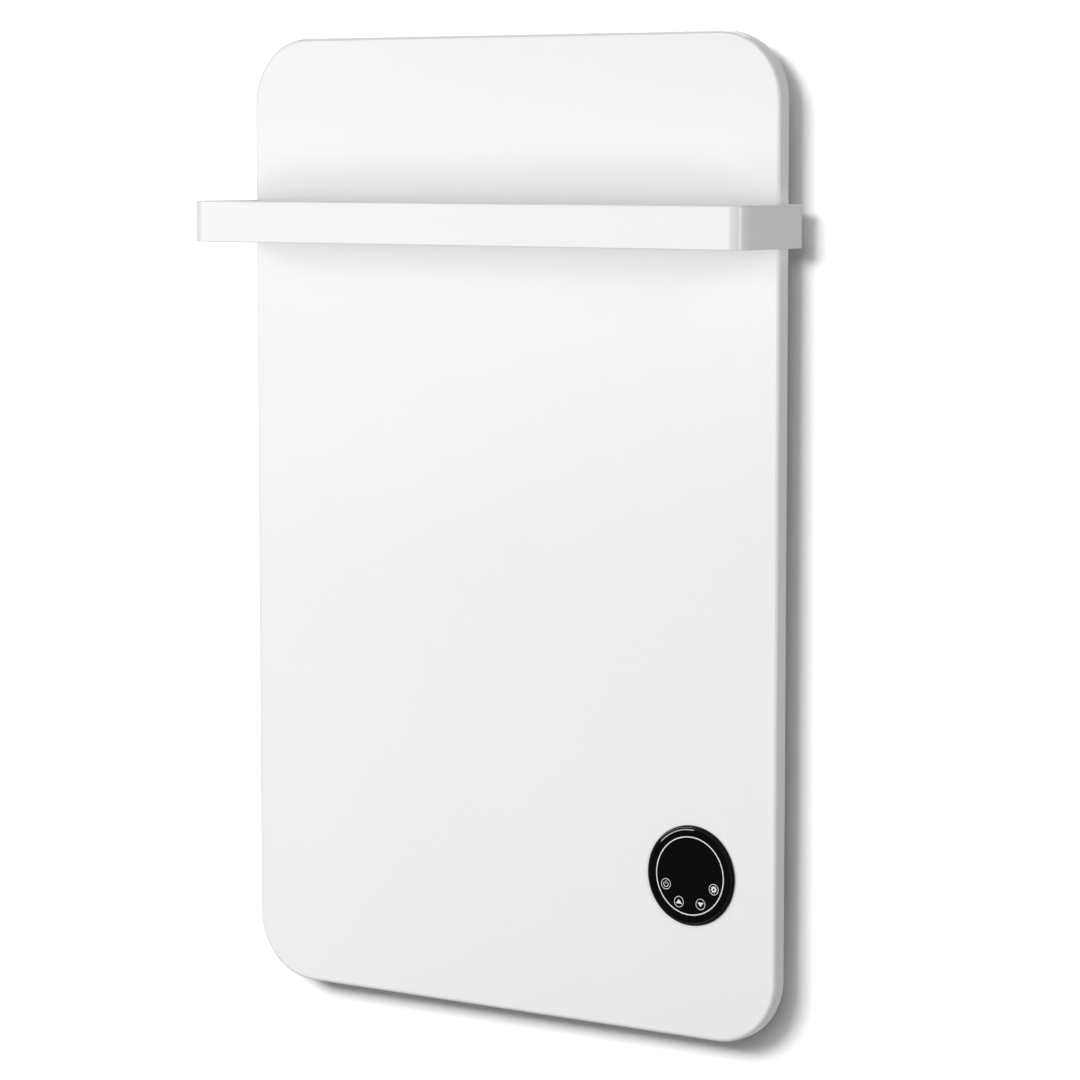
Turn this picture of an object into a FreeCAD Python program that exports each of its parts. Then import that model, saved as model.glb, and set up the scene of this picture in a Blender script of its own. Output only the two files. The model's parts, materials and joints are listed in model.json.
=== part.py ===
import FreeCAD, Part
import math
import os

# Infrared towel warmer: a flat heating panel that hangs on two wall rails, with one towel bar
# and a round touch control. Millimetres. The wall is the plane Y = 0, the front faces -Y, +X is to
# the right and +Z is up. The origin is the centre of the four wall holes.

# Panel
panel_width = 550.0
panel_height = 850.0
panel_depth = 16.0
panel_corner_radius = 58.0
panel_sheet = 1.0
edge_bend_inside = 3.0
fold_bend_inside = 0.5
rear_flange_width = 12.0
rear_sheet = 1.0
rear_cover_inset = 2.0
wall_gap = 22.0

# Stiffening beads pressed into the rear cover
bead_length = 380.0
bead_width = 18.0
bead_height = 2.0
bead_slope = 2.0
bead_count = 3
bead_lower_gap = 160.0
bead_upper_gap = 80.0

# Screws that hold the rear cover
cover_screw_inset = 7.0
cover_screw_corner_gap = 125.0
cover_screw_side_count = 4
cover_screw_end_count = 3
cover_screw_radius = 1.5
cover_screw_length = 7.0
cover_screw_head_radius = 3.2
cover_screw_head_height = 1.8

# Wall rails and the hangers that rest on them
rail_length = 240.0
rail_sheet = 2.0
rail_height = 36.0
rail_reach = 12.0
rail_lip = 14.0
rail_hole_radius = 2.75
rail_hole_spacing = 200.0
rail_row_inset = 175.0
hanger_width = 40.0
hanger_sheet = 2.0
hanger_flange = 26.0
hook_floor_gap = 3.0
hanger_spacing = 170.0
hook_clearance = 0.3
strap_bend_inside = 1.0
rivet_radius = 2.0
rivet_spacing = 22.0
rivet_rise = 15.0
rivet_head_radius = 4.0
rivet_head_height = 1.2
rivet_bulb_radius = 3.0
rivet_bulb_height = 2.0

# Towel bar: a flat tube, U-shaped in plan, whose legs lie against the panel's side walls
bar_height = 36.0
bar_depth = 12.0
bar_wall = 1.5
bar_standoff = 78.0
bar_top_drop = 143.0
bar_bend_inside = 2.0
bar_edge_radius = 1.2
bar_cap = 1.5
plug_length = 14.0
plug_clearance = 0.1
backing_sheet = 2.0
backing_length = 32.0
backing_clearance = 0.5
bar_screw_radius = 2.0
bar_screw_spacing = 20.0
bar_screw_tip_gap = 2.0
bar_screw_head_radius = 3.5
bar_screw_head_height = 2.4

# Heating stack, from the front sheet backwards
heater_margin = 30.0
heater_box_gap = 15.0
mica_sheet = 0.6
film_thickness = 0.3
film_strip_height = 30.0
film_strip_gap = 8.0
film_margin = 8.0
busbar_width = 12.0
foil_thickness = 0.3
wiring_space = 4.3
spacer_size = 40.0
spacer_columns = 3
spacer_rows = 3
spacer_side_gap = 105.0
spacer_top_gap = 55.0
spacer_bottom_gap = 105.0
live_terminal_rise = 380.0
neutral_terminal_rise = 45.0
terminal_post_radius = 3.0
terminal_lug_size = 7.0
cutout_radius = 8.0
cutout_height = 7.0
cutout_rises = (95.0, 335.0)
blade_width = 6.3
blade_thickness = 0.8
blade_spacing = 10.0
probe_size = 8.0
probe_rise = 20.0
probe_offset_x = 36.0
pass_clearance = 2.0

# Control at the front: bezel, glass and display
control_side_gap = 83.0
control_rise = 140.0
bezel_radius = 43.0
bezel_proud = 3.0
bezel_rim_radius = 2.0
bezel_rim_width = 3.0
glass_thickness = 1.2
glass_sink = 0.2
glass_clearance = 0.15
seal_thickness = 0.3
seal_width = 3.0
bezel_overlap = 6.6
spigot_clearance = 0.4
spigot_wall = 2.4
spigot_length = 8.0
shoulder_width = 3.7
shoulder_length = 5.0
ring_nut_width = 7.6
ring_nut_height = 5.0
ring_nut_notches = 6
ring_nut_notch_width = 6.0
ring_nut_notch_depth = 3.0
board_sheet = 1.6
board_clearance = 0.2
key_edge_gap = 4.7
key_angles = (-69.0, -25.0, 25.0, 69.0)
touch_pad_radius = 4.0
display_width = 34.0
display_height = 16.0
display_rise = 5.0
display_glass_gap = 0.2
display_screw_radius = 0.9
display_screw_length = 3.0
display_screw_head_radius = 1.6
display_screw_head_height = 1.2
display_screw_count = 3
buzzer_radius = 6.0
buzzer_height = 4.5
buzzer_drop = 14.0

# Control at the back: box on the rear cover, power board and its parts
box_size = 110.0
box_corner_radius = 8.0
box_wall = 2.0
box_depth = 18.0
box_edge_radius = 2.0
gasket_thickness = 1.0
gasket_width = 5.0
ear_width = 16.0
ear_reach = 14.0
ear_thickness = 3.0
ear_inset = 15.0
ear_corner_radius = 4.0
box_screw_radius = 1.5
box_screw_length = 8.0
box_screw_head_radius = 3.0
box_screw_head_height = 2.0
boss_radius = 3.5
boss_height = 3.0
boss_inset = 6.0
power_board_margin = 11.0
board_screw_radius = 1.25
board_screw_length = 3.8
board_screw_head_radius = 2.4
board_screw_head_height = 1.6
terminal_block_width = 40.0
terminal_block_depth = 14.0
terminal_block_boss_gap = 6.0
terminal_way_spacing = 15.0
relay_size = (19.0, 15.5, 15.3)
relay_offset = (-20.0, 0.0)
transformer_size = (24.0, 20.0, 14.0)
transformer_offset = (18.0, 0.0)
capacitor_size = (18.0, 8.0, 13.0)
capacitor_offset = (-14.0, -26.0)
ribbon_width = 10.0
ribbon_thickness = 1.2
ribbon_offset = (13.0, -22.0)

# Gland for the mains cord, in the box's lower wall
gland_side_room = 0.5
gland_nut_wall = 1.0
gland_bore_radius = 4.2
gland_flange = 4.0
gland_thread_length = 10.0
gland_neck_step = 0.8
gland_neck_length = 6.0
gland_nut_height = 4.0
gland_fit = 0.15
gland_seal_length = 6.0
gland_seal_bore_radius = 3.6
gland_cap_radius = 7.3
gland_cap_end = 2.0

# Internal wiring, in the space behind the insulation
lead_radius = 1.2
probe_lead_radius = 0.8
lead_bend = 12.0
earth_offset_x = -72.0
earth_offset_z = -15.0
earth_collar_radius = 3.5
earth_thread_radius = 2.0
earth_thread_length = 3.0
earth_lug_radius = 6.0
earth_lug_overlap = 1.0
earth_lug_thickness = 1.0
earth_nut_flats = 7.0
earth_nut_height = 2.0

# Clearances and tolerances shared by several pieces
thread_clearance = 0.05
hole_clearance = 0.3
cut_margin = 1.0
tip_room = 0.5
plane_tolerance = 1e-6

# Planes along Y, from the wall to the towel bar
rear_y = -wall_gap
front_y = rear_y - panel_depth
flange_y = rear_y - rear_sheet
flange_inner_y = flange_y - panel_sheet
cavity_y = front_y + panel_sheet
film_y = cavity_y + mica_sheet
mica_back_y = film_y + film_thickness
foil_y = mica_back_y + mica_sheet
insulation_y = foil_y + foil_thickness
insulation_back_y = flange_y - wiring_space
lead_y = flange_y - wiring_space / 2
bar_front_y = front_y - bar_standoff
bar_tube_end_y = rear_y - bar_cap

# Places worked out from the sizes above
half_width = panel_width / 2
half_height = panel_height / 2
rail_row_z = half_height - rail_row_inset
bar_z = half_height - bar_top_drop - bar_height / 2
bar_screw_heights = (bar_z - bar_screw_spacing / 2, bar_z + bar_screw_spacing / 2)
backing_front_y = cavity_y + edge_bend_inside + backing_clearance
backing_back_y = flange_inner_y - backing_clearance
bar_screw_y = (backing_front_y + backing_back_y) / 2
backing_x = half_width - panel_sheet - backing_sheet
bar_screw_tip_x = half_width + bar_depth - bar_wall - bar_screw_tip_gap
hook_z = rail_height / 2 + rail_lip
hanger_drop = rail_lip - hook_floor_gap
control_x = half_width - control_side_gap
control_z = -half_height + control_rise
heater_half_width = half_width - heater_margin
heater_top_z = half_height - heater_margin
heater_bottom_z = control_z + box_size / 2 + heater_box_gap
heater_height = heater_top_z - heater_bottom_z
heater_middle_z = (heater_top_z + heater_bottom_z) / 2
busbar_x = heater_half_width - film_margin - busbar_width / 2
strip_half_width = busbar_x - busbar_width / 2
live_terminal_z = heater_bottom_z + live_terminal_rise
neutral_terminal_z = heater_bottom_z + neutral_terminal_rise
cutout_heights = [heater_bottom_z + rise for rise in cutout_rises]
bezel_front_y = front_y - bezel_proud
glass_front_y = bezel_front_y + glass_sink
glass_back_y = glass_front_y + glass_thickness
ledge_y = glass_back_y + seal_thickness
display_board_y = front_y + shoulder_length
display_back_y = display_board_y + board_sheet
glass_radius = bezel_radius - bezel_rim_width
spigot_radius = bezel_radius - bezel_overlap
spigot_bore_radius = spigot_radius - spigot_wall
shoulder_radius = spigot_bore_radius - shoulder_width
key_circle_radius = shoulder_radius - key_edge_gap
ring_nut_radius = spigot_radius + ring_nut_width
box_back_y = rear_y + box_depth
box_opening = box_size - 2 * gasket_width
box_opening_radius = box_corner_radius - box_wall
ear_offset = box_size / 2 - ear_inset
power_board_size = box_size - 2 * (box_wall + power_board_margin)
boss_spacing = power_board_size - 2 * boss_inset
boss_y = box_back_y - box_wall - boss_height
power_board_y = boss_y - board_sheet
block_x = control_x - boss_spacing / 2 + terminal_block_boss_gap + terminal_block_width / 2
block_z = control_z + power_board_size / 2 - terminal_block_depth / 2
block_top_z = block_z + terminal_block_depth / 2
neutral_x = block_x - terminal_way_spacing / 2
live_x = block_x + terminal_way_spacing / 2
probe_x = control_x + probe_offset_x
probe_z = heater_bottom_z + probe_rise
box_bottom_z = control_z - box_size / 2
box_rim_y = rear_y + gasket_thickness
gland_y = (box_rim_y + box_back_y - box_wall) / 2
gland_flats = box_back_y - box_wall - box_rim_y - 2 * gland_side_room
gland_thread_radius = gland_flats / 2 - gland_nut_wall
gland_neck_radius = gland_thread_radius - gland_neck_step
earth_x = control_x + earth_offset_x
earth_z = control_z + earth_offset_z
earth_collar_y = lead_y - lead_radius


def point(x, y, z):
    return FreeCAD.Vector(x, y, z)


def block(x_low, x_high, y_low, y_high, z_low, z_high):
    return Part.makeBox(x_high - x_low, y_high - y_low, z_high - z_low, point(x_low, y_low, z_low))


def standing_block(x, z, width, height, y_low, y_high):
    """A block centred on (x, z) that runs from y_low to y_high."""
    return block(x - width / 2, x + width / 2, y_low, y_high, z - height / 2, z + height / 2)


def rod_x(radius, y, z, x_low, x_high):
    return Part.makeCylinder(radius, x_high - x_low, point(x_low, y, z), point(1, 0, 0))


def rod_y(radius, x, z, y_low, y_high):
    return Part.makeCylinder(radius, y_high - y_low, point(x, y_low, z), point(0, 1, 0))


def rod_z(radius, x, y, z_low, z_high):
    return Part.makeCylinder(radius, z_high - z_low, point(x, y, z_low), point(0, 0, 1))


def hex_wire(flats, centre, first_axis, second_axis):
    """A closed hexagon about centre, with a flat side square to second_axis."""
    corner_radius = flats / math.sqrt(3)
    corners = []
    for corner in range(7):
        angle = math.radians(60 * corner)
        along_first = first_axis * (corner_radius * math.cos(angle))
        along_second = second_axis * (corner_radius * math.sin(angle))
        corners.append(centre + along_first + along_second)
    return Part.makePolygon(corners)


def rounded_outline(width, height, radius, y, x=0.0, z=0.0):
    """A rounded rectangle in the plane at y, centred on (x, z)."""
    reach_x = width / 2 - radius
    reach_z = height / 2 - radius
    arcs = []
    for turn, (side_x, side_z) in enumerate(((1, -1), (1, 1), (-1, 1), (-1, -1))):
        centre = point(x + side_x * reach_x, y, z + side_z * reach_z)
        angles = [math.radians(90 * turn + step) for step in (-90, -45, 0)]
        arcs.append([centre + point(radius * math.cos(a), 0, radius * math.sin(a)) for a in angles])
    edges = []
    for turn, (start, middle, end) in enumerate(arcs):
        edges.append(Part.Arc(start, middle, end).toShape())
        following = arcs[(turn + 1) % len(arcs)][0]
        if (following - end).Length > plane_tolerance:
            edges.append(Part.LineSegment(end, following).toShape())
    return Part.Wire(edges)


def rounded_plate(width, height, radius, y_low, y_high, x=0.0, z=0.0):
    face = Part.Face(rounded_outline(width, height, radius, y_low, x, z))
    return face.extrude(point(0, y_high - y_low, 0))


def edges_at(shape, **places):
    """The edges whose ends all have the given coordinates, such as y=0.0 or y=0.0, z=5.0."""
    found = []
    for edge in shape.Edges:
        gaps = []
        for axis, value in places.items():
            gaps.extend(abs(getattr(vertex.Point, axis) - value) for vertex in edge.Vertexes)
        if max(gaps) < plane_tolerance:
            found.append(edge)
    return found


def mirrored(shape):
    return shape.mirror(point(0, 0, 0), point(1, 0, 0))


def evenly(low, high, count):
    return [low + (high - low) * step / (count - 1) for step in range(count)]


def cover_screw_places():
    """Centres of the cover screws, as (x, z), along the panel's four sides."""
    side_x = half_width - cover_screw_inset
    end_z = half_height - cover_screw_inset
    reach_x = half_width - cover_screw_corner_gap
    reach_z = half_height - cover_screw_corner_gap
    places = []
    for side in (-1, 1):
        for z in evenly(-reach_z, reach_z, cover_screw_side_count):
            places.append((side * side_x, z))
        for x in evenly(-reach_x, reach_x, cover_screw_end_count):
            places.append((x, side * end_z))
    return places


def hanger_places():
    """Centre x and resting height of each hanger, by node name."""
    places = {}
    for level, row in (("upper", 1), ("lower", -1)):
        for side_name, side in (("left", -1), ("right", 1)):
            name = f"hanger_{level}_{side_name}"
            places[name] = (side * hanger_spacing / 2, row * rail_row_z + hook_z)
    return places


def rivet_places():
    places = []
    for x, z in hanger_places().values():
        for side in (-1, 1):
            places.append((x + side * rivet_spacing / 2, z + rivet_rise))
    return places


def ear_places():
    """Centres of the control box's four ears, as (x, z)."""
    reach_z = box_size / 2 + ear_reach / 2
    corners = ((-1, -1), (-1, 1), (1, -1), (1, 1))
    return [(control_x + sx * ear_offset, control_z + sz * reach_z) for sx, sz in corners]


def boss_places():
    half = boss_spacing / 2
    corners = ((-1, -1), (-1, 1), (1, -1), (1, 1))
    return [(control_x + sx * half, control_z + sz * half) for sx, sz in corners]


def key_places():
    """Centres of the touch keys; each angle is measured from straight down."""
    places = []
    for angle in key_angles:
        turn = math.radians(angle)
        x = control_x + key_circle_radius * math.sin(turn)
        places.append((x, control_z - key_circle_radius * math.cos(turn)))
    return places


def display_screw_places():
    radius = (shoulder_radius + spigot_bore_radius) / 2
    places = []
    for step in range(display_screw_count):
        turn = math.radians(90 + 360 * step / display_screw_count)
        places.append((control_x + radius * math.cos(turn), control_z + radius * math.sin(turn)))
    return places


def terminal_places():
    """Where the live and neutral busbars are tapped, as (x, z)."""
    return [(busbar_x, live_terminal_z), (-busbar_x, neutral_terminal_z)]


def front_panel():
    """Folded steel tray with a rear flange, a control hole and the holes for its screws."""
    tray = rounded_plate(panel_width, panel_height, panel_corner_radius, front_y, flange_y)
    tray = tray.makeFillet(edge_bend_inside + panel_sheet, edges_at(tray, y=front_y))
    tray = tray.makeFillet(fold_bend_inside + panel_sheet, edges_at(tray, y=flange_y))
    inside_width = panel_width - 2 * panel_sheet
    inside_height = panel_height - 2 * panel_sheet
    inside_radius = panel_corner_radius - panel_sheet
    hollow = rounded_plate(inside_width, inside_height, inside_radius, cavity_y, flange_inner_y)
    hollow = hollow.makeFillet(edge_bend_inside, edges_at(hollow, y=cavity_y))
    hollow = hollow.makeFillet(fold_bend_inside, edges_at(hollow, y=flange_inner_y))
    mouth = rounded_plate(
        panel_width - 2 * rear_flange_width,
        panel_height - 2 * rear_flange_width,
        panel_corner_radius - rear_flange_width,
        flange_inner_y - cut_margin,
        flange_y + cut_margin,
    )
    hole_radius = spigot_radius + spigot_clearance
    cutters = [
        hollow,
        mouth,
        rod_y(hole_radius, control_x, control_z, front_y - cut_margin, cavity_y + cut_margin),
    ]
    for x, z in cover_screw_places():
        radius = cover_screw_radius + thread_clearance
        cutters.append(rod_y(radius, x, z, flange_inner_y - cut_margin, flange_y + cut_margin))
    for z in bar_screw_heights:
        hole = rod_x(
            bar_screw_radius + hole_clearance,
            bar_screw_y,
            z,
            half_width - panel_sheet - cut_margin,
            half_width + cut_margin,
        )
        cutters.extend((hole, mirrored(hole)))
    return tray.cut(cutters)


def bead(z, y_low):
    """A long pressed bead: a round-ended outline that narrows towards the wall."""
    foot = rounded_outline(bead_length, bead_width, bead_width / 2, y_low, 0.0, z)
    top_width = bead_width - 2 * bead_slope
    top_length = bead_length - 2 * bead_slope
    top = rounded_outline(top_length, top_width, top_width / 2, y_low + bead_height, 0.0, z)
    return Part.makeLoft([foot, top], True, True)


def rear_cover():
    """Steel sheet on the tray's flange, with pressed beads and an opening into the control box."""
    cover = rounded_plate(
        panel_width - 2 * rear_cover_inset,
        panel_height - 2 * rear_cover_inset,
        panel_corner_radius - rear_cover_inset,
        flange_y,
        rear_y,
    )
    bead_rows = evenly(bead_lower_gap - rail_row_z, rail_row_z - bead_upper_gap, bead_count)
    cover = cover.fuse([bead(z, rear_y) for z in bead_rows])
    cutters = [bead(z, flange_y) for z in bead_rows]
    near_y = flange_y - cut_margin
    far_y = rear_y + cut_margin
    opening = (box_opening, box_opening, box_opening_radius)
    cutters.append(rounded_plate(*opening, near_y, far_y, control_x, control_z))
    for x, z in cover_screw_places():
        cutters.append(rod_y(cover_screw_radius + hole_clearance, x, z, near_y, far_y))
    for x, z in rivet_places():
        cutters.append(rod_y(rivet_radius + thread_clearance, x, z, near_y, far_y))
    for x, z in ear_places():
        cutters.append(rod_y(box_screw_radius + thread_clearance, x, z, near_y, far_y))
    return cover.cut(cutters).removeSplitter()


def headed_screw(x, z, seat_y, radius, length, head_radius, head_height, towards=-1):
    """A screw along Y with its head on seat_y; towards is the way the shank points."""
    shank_end = seat_y + towards * length
    head_end = seat_y - towards * head_height
    shank = rod_y(radius, x, z, min(seat_y, shank_end), max(seat_y, shank_end))
    head = rod_y(head_radius, x, z, min(seat_y, head_end), max(seat_y, head_end))
    rim = edges_at(head, y=head_end)
    rounded = head.makeFillet(head_height / 2, rim)
    return rounded.fuse(shank).removeSplitter()


def cover_screws():
    size = (cover_screw_radius, cover_screw_length, cover_screw_head_radius, cover_screw_head_height)
    return Part.makeCompound([headed_screw(x, z, rear_y, *size) for x, z in cover_screw_places()])


def folded_strip(corners, x_middle, width):
    """A bent strap along X about x_middle, from (y, z, radius) corners; radius 0 stays sharp."""
    start = x_middle - width / 2
    outline = [point(start, y, z) for y, z, _ in corners]
    face = Part.Face(Part.makePolygon(outline + outline[:1]))
    strip = face.extrude(point(width, 0, 0))
    for y, z, radius in corners:
        if radius:
            strip = strip.makeFillet(radius, edges_at(strip, y=y, z=z))
    return strip


def wall_rail(row_z):
    """A rail screwed to the wall: flat flange, web forwards, lip upwards."""
    low = row_z - rail_height / 2
    high = row_z + rail_height / 2
    lip_back = -rail_reach + rail_sheet
    inside = strap_bend_inside
    outside = inside + rail_sheet
    corners = [
        (0, low, 0),
        (0, high, outside),
        (lip_back, high, inside),
        (lip_back, row_z + hook_z, 0),
        (-rail_reach, row_z + hook_z, 0),
        (-rail_reach, high - rail_sheet, outside),
        (-rail_sheet, high - rail_sheet, inside),
        (-rail_sheet, low, 0),
    ]
    rail = folded_strip(corners, 0.0, rail_length)
    holes = []
    for side in (-1, 1):
        x = side * rail_hole_spacing / 2
        holes.append(rod_y(rail_hole_radius, x, row_z, -rail_sheet - cut_margin, cut_margin))
    return rail.cut(holes)


def hanger(x_middle, rest_z):
    """A hook riveted to the rear cover; its web rests on the rail's lip at rest_z."""
    hook_front = -rail_reach + rail_sheet + strap_bend_inside + hook_clearance
    hook_back = hook_front + hanger_sheet
    inside = strap_bend_inside
    outside = inside + hanger_sheet
    corners = [
        (rear_y, rest_z, outside),
        (rear_y, rest_z + hanger_flange, 0),
        (rear_y + hanger_sheet, rest_z + hanger_flange, 0),
        (rear_y + hanger_sheet, rest_z + hanger_sheet, inside),
        (hook_back, rest_z + hanger_sheet, outside),
        (hook_back, rest_z - hanger_drop, 0),
        (hook_front, rest_z - hanger_drop, 0),
        (hook_front, rest_z, inside),
    ]
    hook = folded_strip(corners, x_middle, hanger_width)
    holes = []
    for side in (-1, 1):
        x = x_middle + side * rivet_spacing / 2
        radius = rivet_radius + thread_clearance
        far_y = rear_y + hanger_sheet + cut_margin
        holes.append(rod_y(radius, x, rest_z + rivet_rise, rear_y - cut_margin, far_y))
    return hook.cut(holes)


def hanger_rivets():
    rivets = []
    head_y = rear_y + hanger_sheet
    for x, z in rivet_places():
        shank = rod_y(rivet_radius, x, z, flange_y, head_y)
        head = rod_y(rivet_head_radius, x, z, head_y, head_y + rivet_head_height)
        rim = edges_at(head, y=head_y + rivet_head_height)
        head = head.makeFillet(rivet_head_height / 2, rim)
        bulb = rod_y(rivet_bulb_radius, x, z, flange_y - rivet_bulb_height, flange_y)
        rivets.append(shank.fuse([head, bulb]).removeSplitter())
    return Part.makeCompound(rivets)


def bar_solid(inset, end_y):
    """The towel bar's U, shrunk by inset on every side of its section and ending at end_y."""
    outer_x = half_width + bar_depth - inset
    inner_x = half_width + inset
    outer_y = bar_front_y + inset
    inner_y = bar_front_y + bar_depth - inset
    outer_bend = bar_bend_inside + bar_depth - inset
    inner_bend = bar_bend_inside + inset
    low_z = bar_z - bar_height / 2 + inset

    def place(x, y):
        return point(x, y, low_z)

    def bend(side, x, y, radius):
        """End points and middle of a quarter bend whose square corner is (side * x, y)."""
        middle_gap = radius * (1 - math.sqrt(0.5))
        leg = place(side * x, y + radius)
        middle = place(side * (x - middle_gap), y + middle_gap)
        run = place(side * (x - radius), y)
        return leg, middle, run

    right = bend(1, outer_x, outer_y, outer_bend)
    left = bend(-1, outer_x, outer_y, outer_bend)
    left_inner = bend(-1, inner_x, inner_y, inner_bend)
    right_inner = bend(1, inner_x, inner_y, inner_bend)
    ends = [place(side * x, end_y) for side in (1, -1) for x in (outer_x, inner_x)]
    right_outer_end, right_inner_end, left_outer_end, left_inner_end = ends
    edges = [
        Part.LineSegment(right_outer_end, right[0]),
        Part.Arc(*right),
        Part.LineSegment(right[2], left[2]),
        Part.Arc(*reversed(left)),
        Part.LineSegment(left[0], left_outer_end),
        Part.LineSegment(left_outer_end, left_inner_end),
        Part.LineSegment(left_inner_end, left_inner[0]),
        Part.Arc(*left_inner),
        Part.LineSegment(left_inner[2], right_inner[2]),
        Part.Arc(*reversed(right_inner)),
        Part.LineSegment(right_inner[0], right_inner_end),
        Part.LineSegment(right_inner_end, right_outer_end),
    ]
    face = Part.Face(Part.Wire([edge.toShape() for edge in edges]))
    return face.extrude(point(0, 0, bar_height - 2 * inset))


def towel_bar():
    tube = bar_solid(0.0, bar_tube_end_y)
    long_edges = []
    for z in (bar_z - bar_height / 2, bar_z + bar_height / 2):
        for edge in edges_at(tube, z=z):
            if abs(edge.CenterOfMass.y - bar_tube_end_y) > plane_tolerance:
                long_edges.append(edge)
    tube = tube.makeFillet(bar_edge_radius, long_edges)
    cutters = [bar_solid(bar_wall, bar_tube_end_y + cut_margin)]
    for z in bar_screw_heights:
        hole = rod_x(
            bar_screw_radius + hole_clearance,
            bar_screw_y,
            z,
            half_width - cut_margin,
            half_width + bar_wall + cut_margin,
        )
        cutters.extend((hole, mirrored(hole)))
    return tube.cut(cutters)


def bar_end_plug():
    """Right-hand plug: a cap the size of the tube's section, and a block inside the tube."""
    middle_x = half_width + bar_depth / 2
    section = (bar_depth, bar_height, bar_edge_radius)
    cap = rounded_plate(*section, bar_tube_end_y, rear_y, middle_x, bar_z)
    reach = bar_wall + plug_clearance
    core = standing_block(
        middle_x,
        bar_z,
        bar_depth - 2 * reach,
        bar_height - 2 * reach,
        bar_tube_end_y - plug_length,
        bar_tube_end_y,
    )
    plug = cap.fuse(core).removeSplitter()
    holes = []
    for z in bar_screw_heights:
        radius = bar_screw_radius + thread_clearance
        holes.append(rod_x(radius, bar_screw_y, z, half_width, bar_screw_tip_x + tip_room))
    return plug.cut(holes)


def bar_backing_plate():
    """Right-hand doubler plate inside the panel's side wall."""
    low_z = bar_z - backing_length / 2
    wall_x = half_width - panel_sheet
    plate = block(backing_x, wall_x, backing_front_y, backing_back_y, low_z, low_z + backing_length)
    holes = []
    for z in bar_screw_heights:
        radius = bar_screw_radius + thread_clearance
        holes.append(rod_x(radius, bar_screw_y, z, backing_x - cut_margin, wall_x + cut_margin))
    return plate.cut(holes)


def bar_screws():
    screws = []
    head_x = backing_x - bar_screw_head_height
    for z in bar_screw_heights:
        shank = rod_x(bar_screw_radius, bar_screw_y, z, backing_x, bar_screw_tip_x)
        head = rod_x(bar_screw_head_radius, bar_screw_y, z, head_x, backing_x)
        head = head.makeFillet(bar_screw_head_height / 2, edges_at(head, x=head_x))
        screw = head.fuse(shank).removeSplitter()
        screws.extend((screw, mirrored(screw)))
    return Part.makeCompound(screws)


def heater_sheet(y_low, y_high):
    width = 2 * heater_half_width
    return standing_block(0.0, heater_middle_z, width, heater_height, y_low, y_high)


def passages(y_low, y_high):
    """Holes through the layers behind the mica for the terminals, the cut-outs and the probe."""
    low = y_low - cut_margin
    high = y_high + cut_margin
    holes = []
    for x, z in terminal_places():
        holes.append(rod_y(terminal_post_radius + pass_clearance, x, z, low, high))
    for z in cutout_heights:
        holes.append(rod_y(cutout_radius + pass_clearance, live_x, z, low, high))
    size = probe_size + 2 * pass_clearance
    holes.append(standing_block(probe_x, probe_z, size, size, low, high))
    return holes


def mica_sheet_back():
    sheet = heater_sheet(mica_back_y, foil_y)
    holes = []
    for x, z in terminal_places():
        radius = terminal_post_radius + hole_clearance
        holes.append(rod_y(radius, x, z, mica_back_y - cut_margin, foil_y + cut_margin))
    return sheet.cut(holes)


def heating_strips():
    """Printed carbon strips that span the two busbars, one above the other."""
    pitch = film_strip_height + film_strip_gap
    count = int((heater_height - 2 * film_margin + film_strip_gap) // pitch)
    lowest = heater_middle_z - pitch * (count - 1) / 2
    strips = []
    for step in range(count):
        z = lowest + pitch * step
        width = 2 * strip_half_width
        strips.append(standing_block(0.0, z, width, film_strip_height, film_y, mica_back_y))
    return Part.makeCompound(strips)


def busbar(side):
    height = heater_height - 2 * film_margin
    return standing_block(side * busbar_x, heater_middle_z, busbar_width, height, film_y, mica_back_y)


def busbar_terminals():
    """A copper post on each busbar, with a square lug where its lead ends."""
    terminals = []
    lug_front = lead_y - lead_radius
    for x, z in terminal_places():
        post = rod_y(terminal_post_radius, x, z, mica_back_y, lug_front)
        lug = standing_block(x, z, terminal_lug_size, terminal_lug_size, lug_front, lead_y + lead_radius)
        terminals.append(post.fuse(lug).removeSplitter())
    return Part.makeCompound(terminals)


def spacer_pads():
    """Soft pads that press the insulation forwards from the rear cover."""
    pads = []
    reach_x = heater_half_width - spacer_side_gap
    low_z = heater_bottom_z + spacer_bottom_gap
    high_z = heater_top_z - spacer_top_gap
    for x in evenly(-reach_x, reach_x, spacer_columns):
        for z in evenly(low_z, high_z, spacer_rows):
            pads.append(standing_block(x, z, spacer_size, spacer_size, insulation_back_y, flange_y))
    return Part.makeCompound(pads)


def overheat_cutout(z):
    """A round bimetal switch on the back of the heater, with two blade terminals."""
    top_y = foil_y + cutout_height
    body = rod_y(cutout_radius, live_x, z, foil_y, top_y)
    blades = []
    for side in (-1, 1):
        blade_z = z + side * blade_spacing / 2
        blade_end = lead_y + lead_radius
        blades.append(standing_block(live_x, blade_z, blade_width, blade_thickness, top_y, blade_end))
    return body.fuse(blades).removeSplitter()


def ntc_probe():
    return standing_block(probe_x, probe_z, probe_size, probe_size, foil_y, lead_y + lead_radius)


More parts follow.
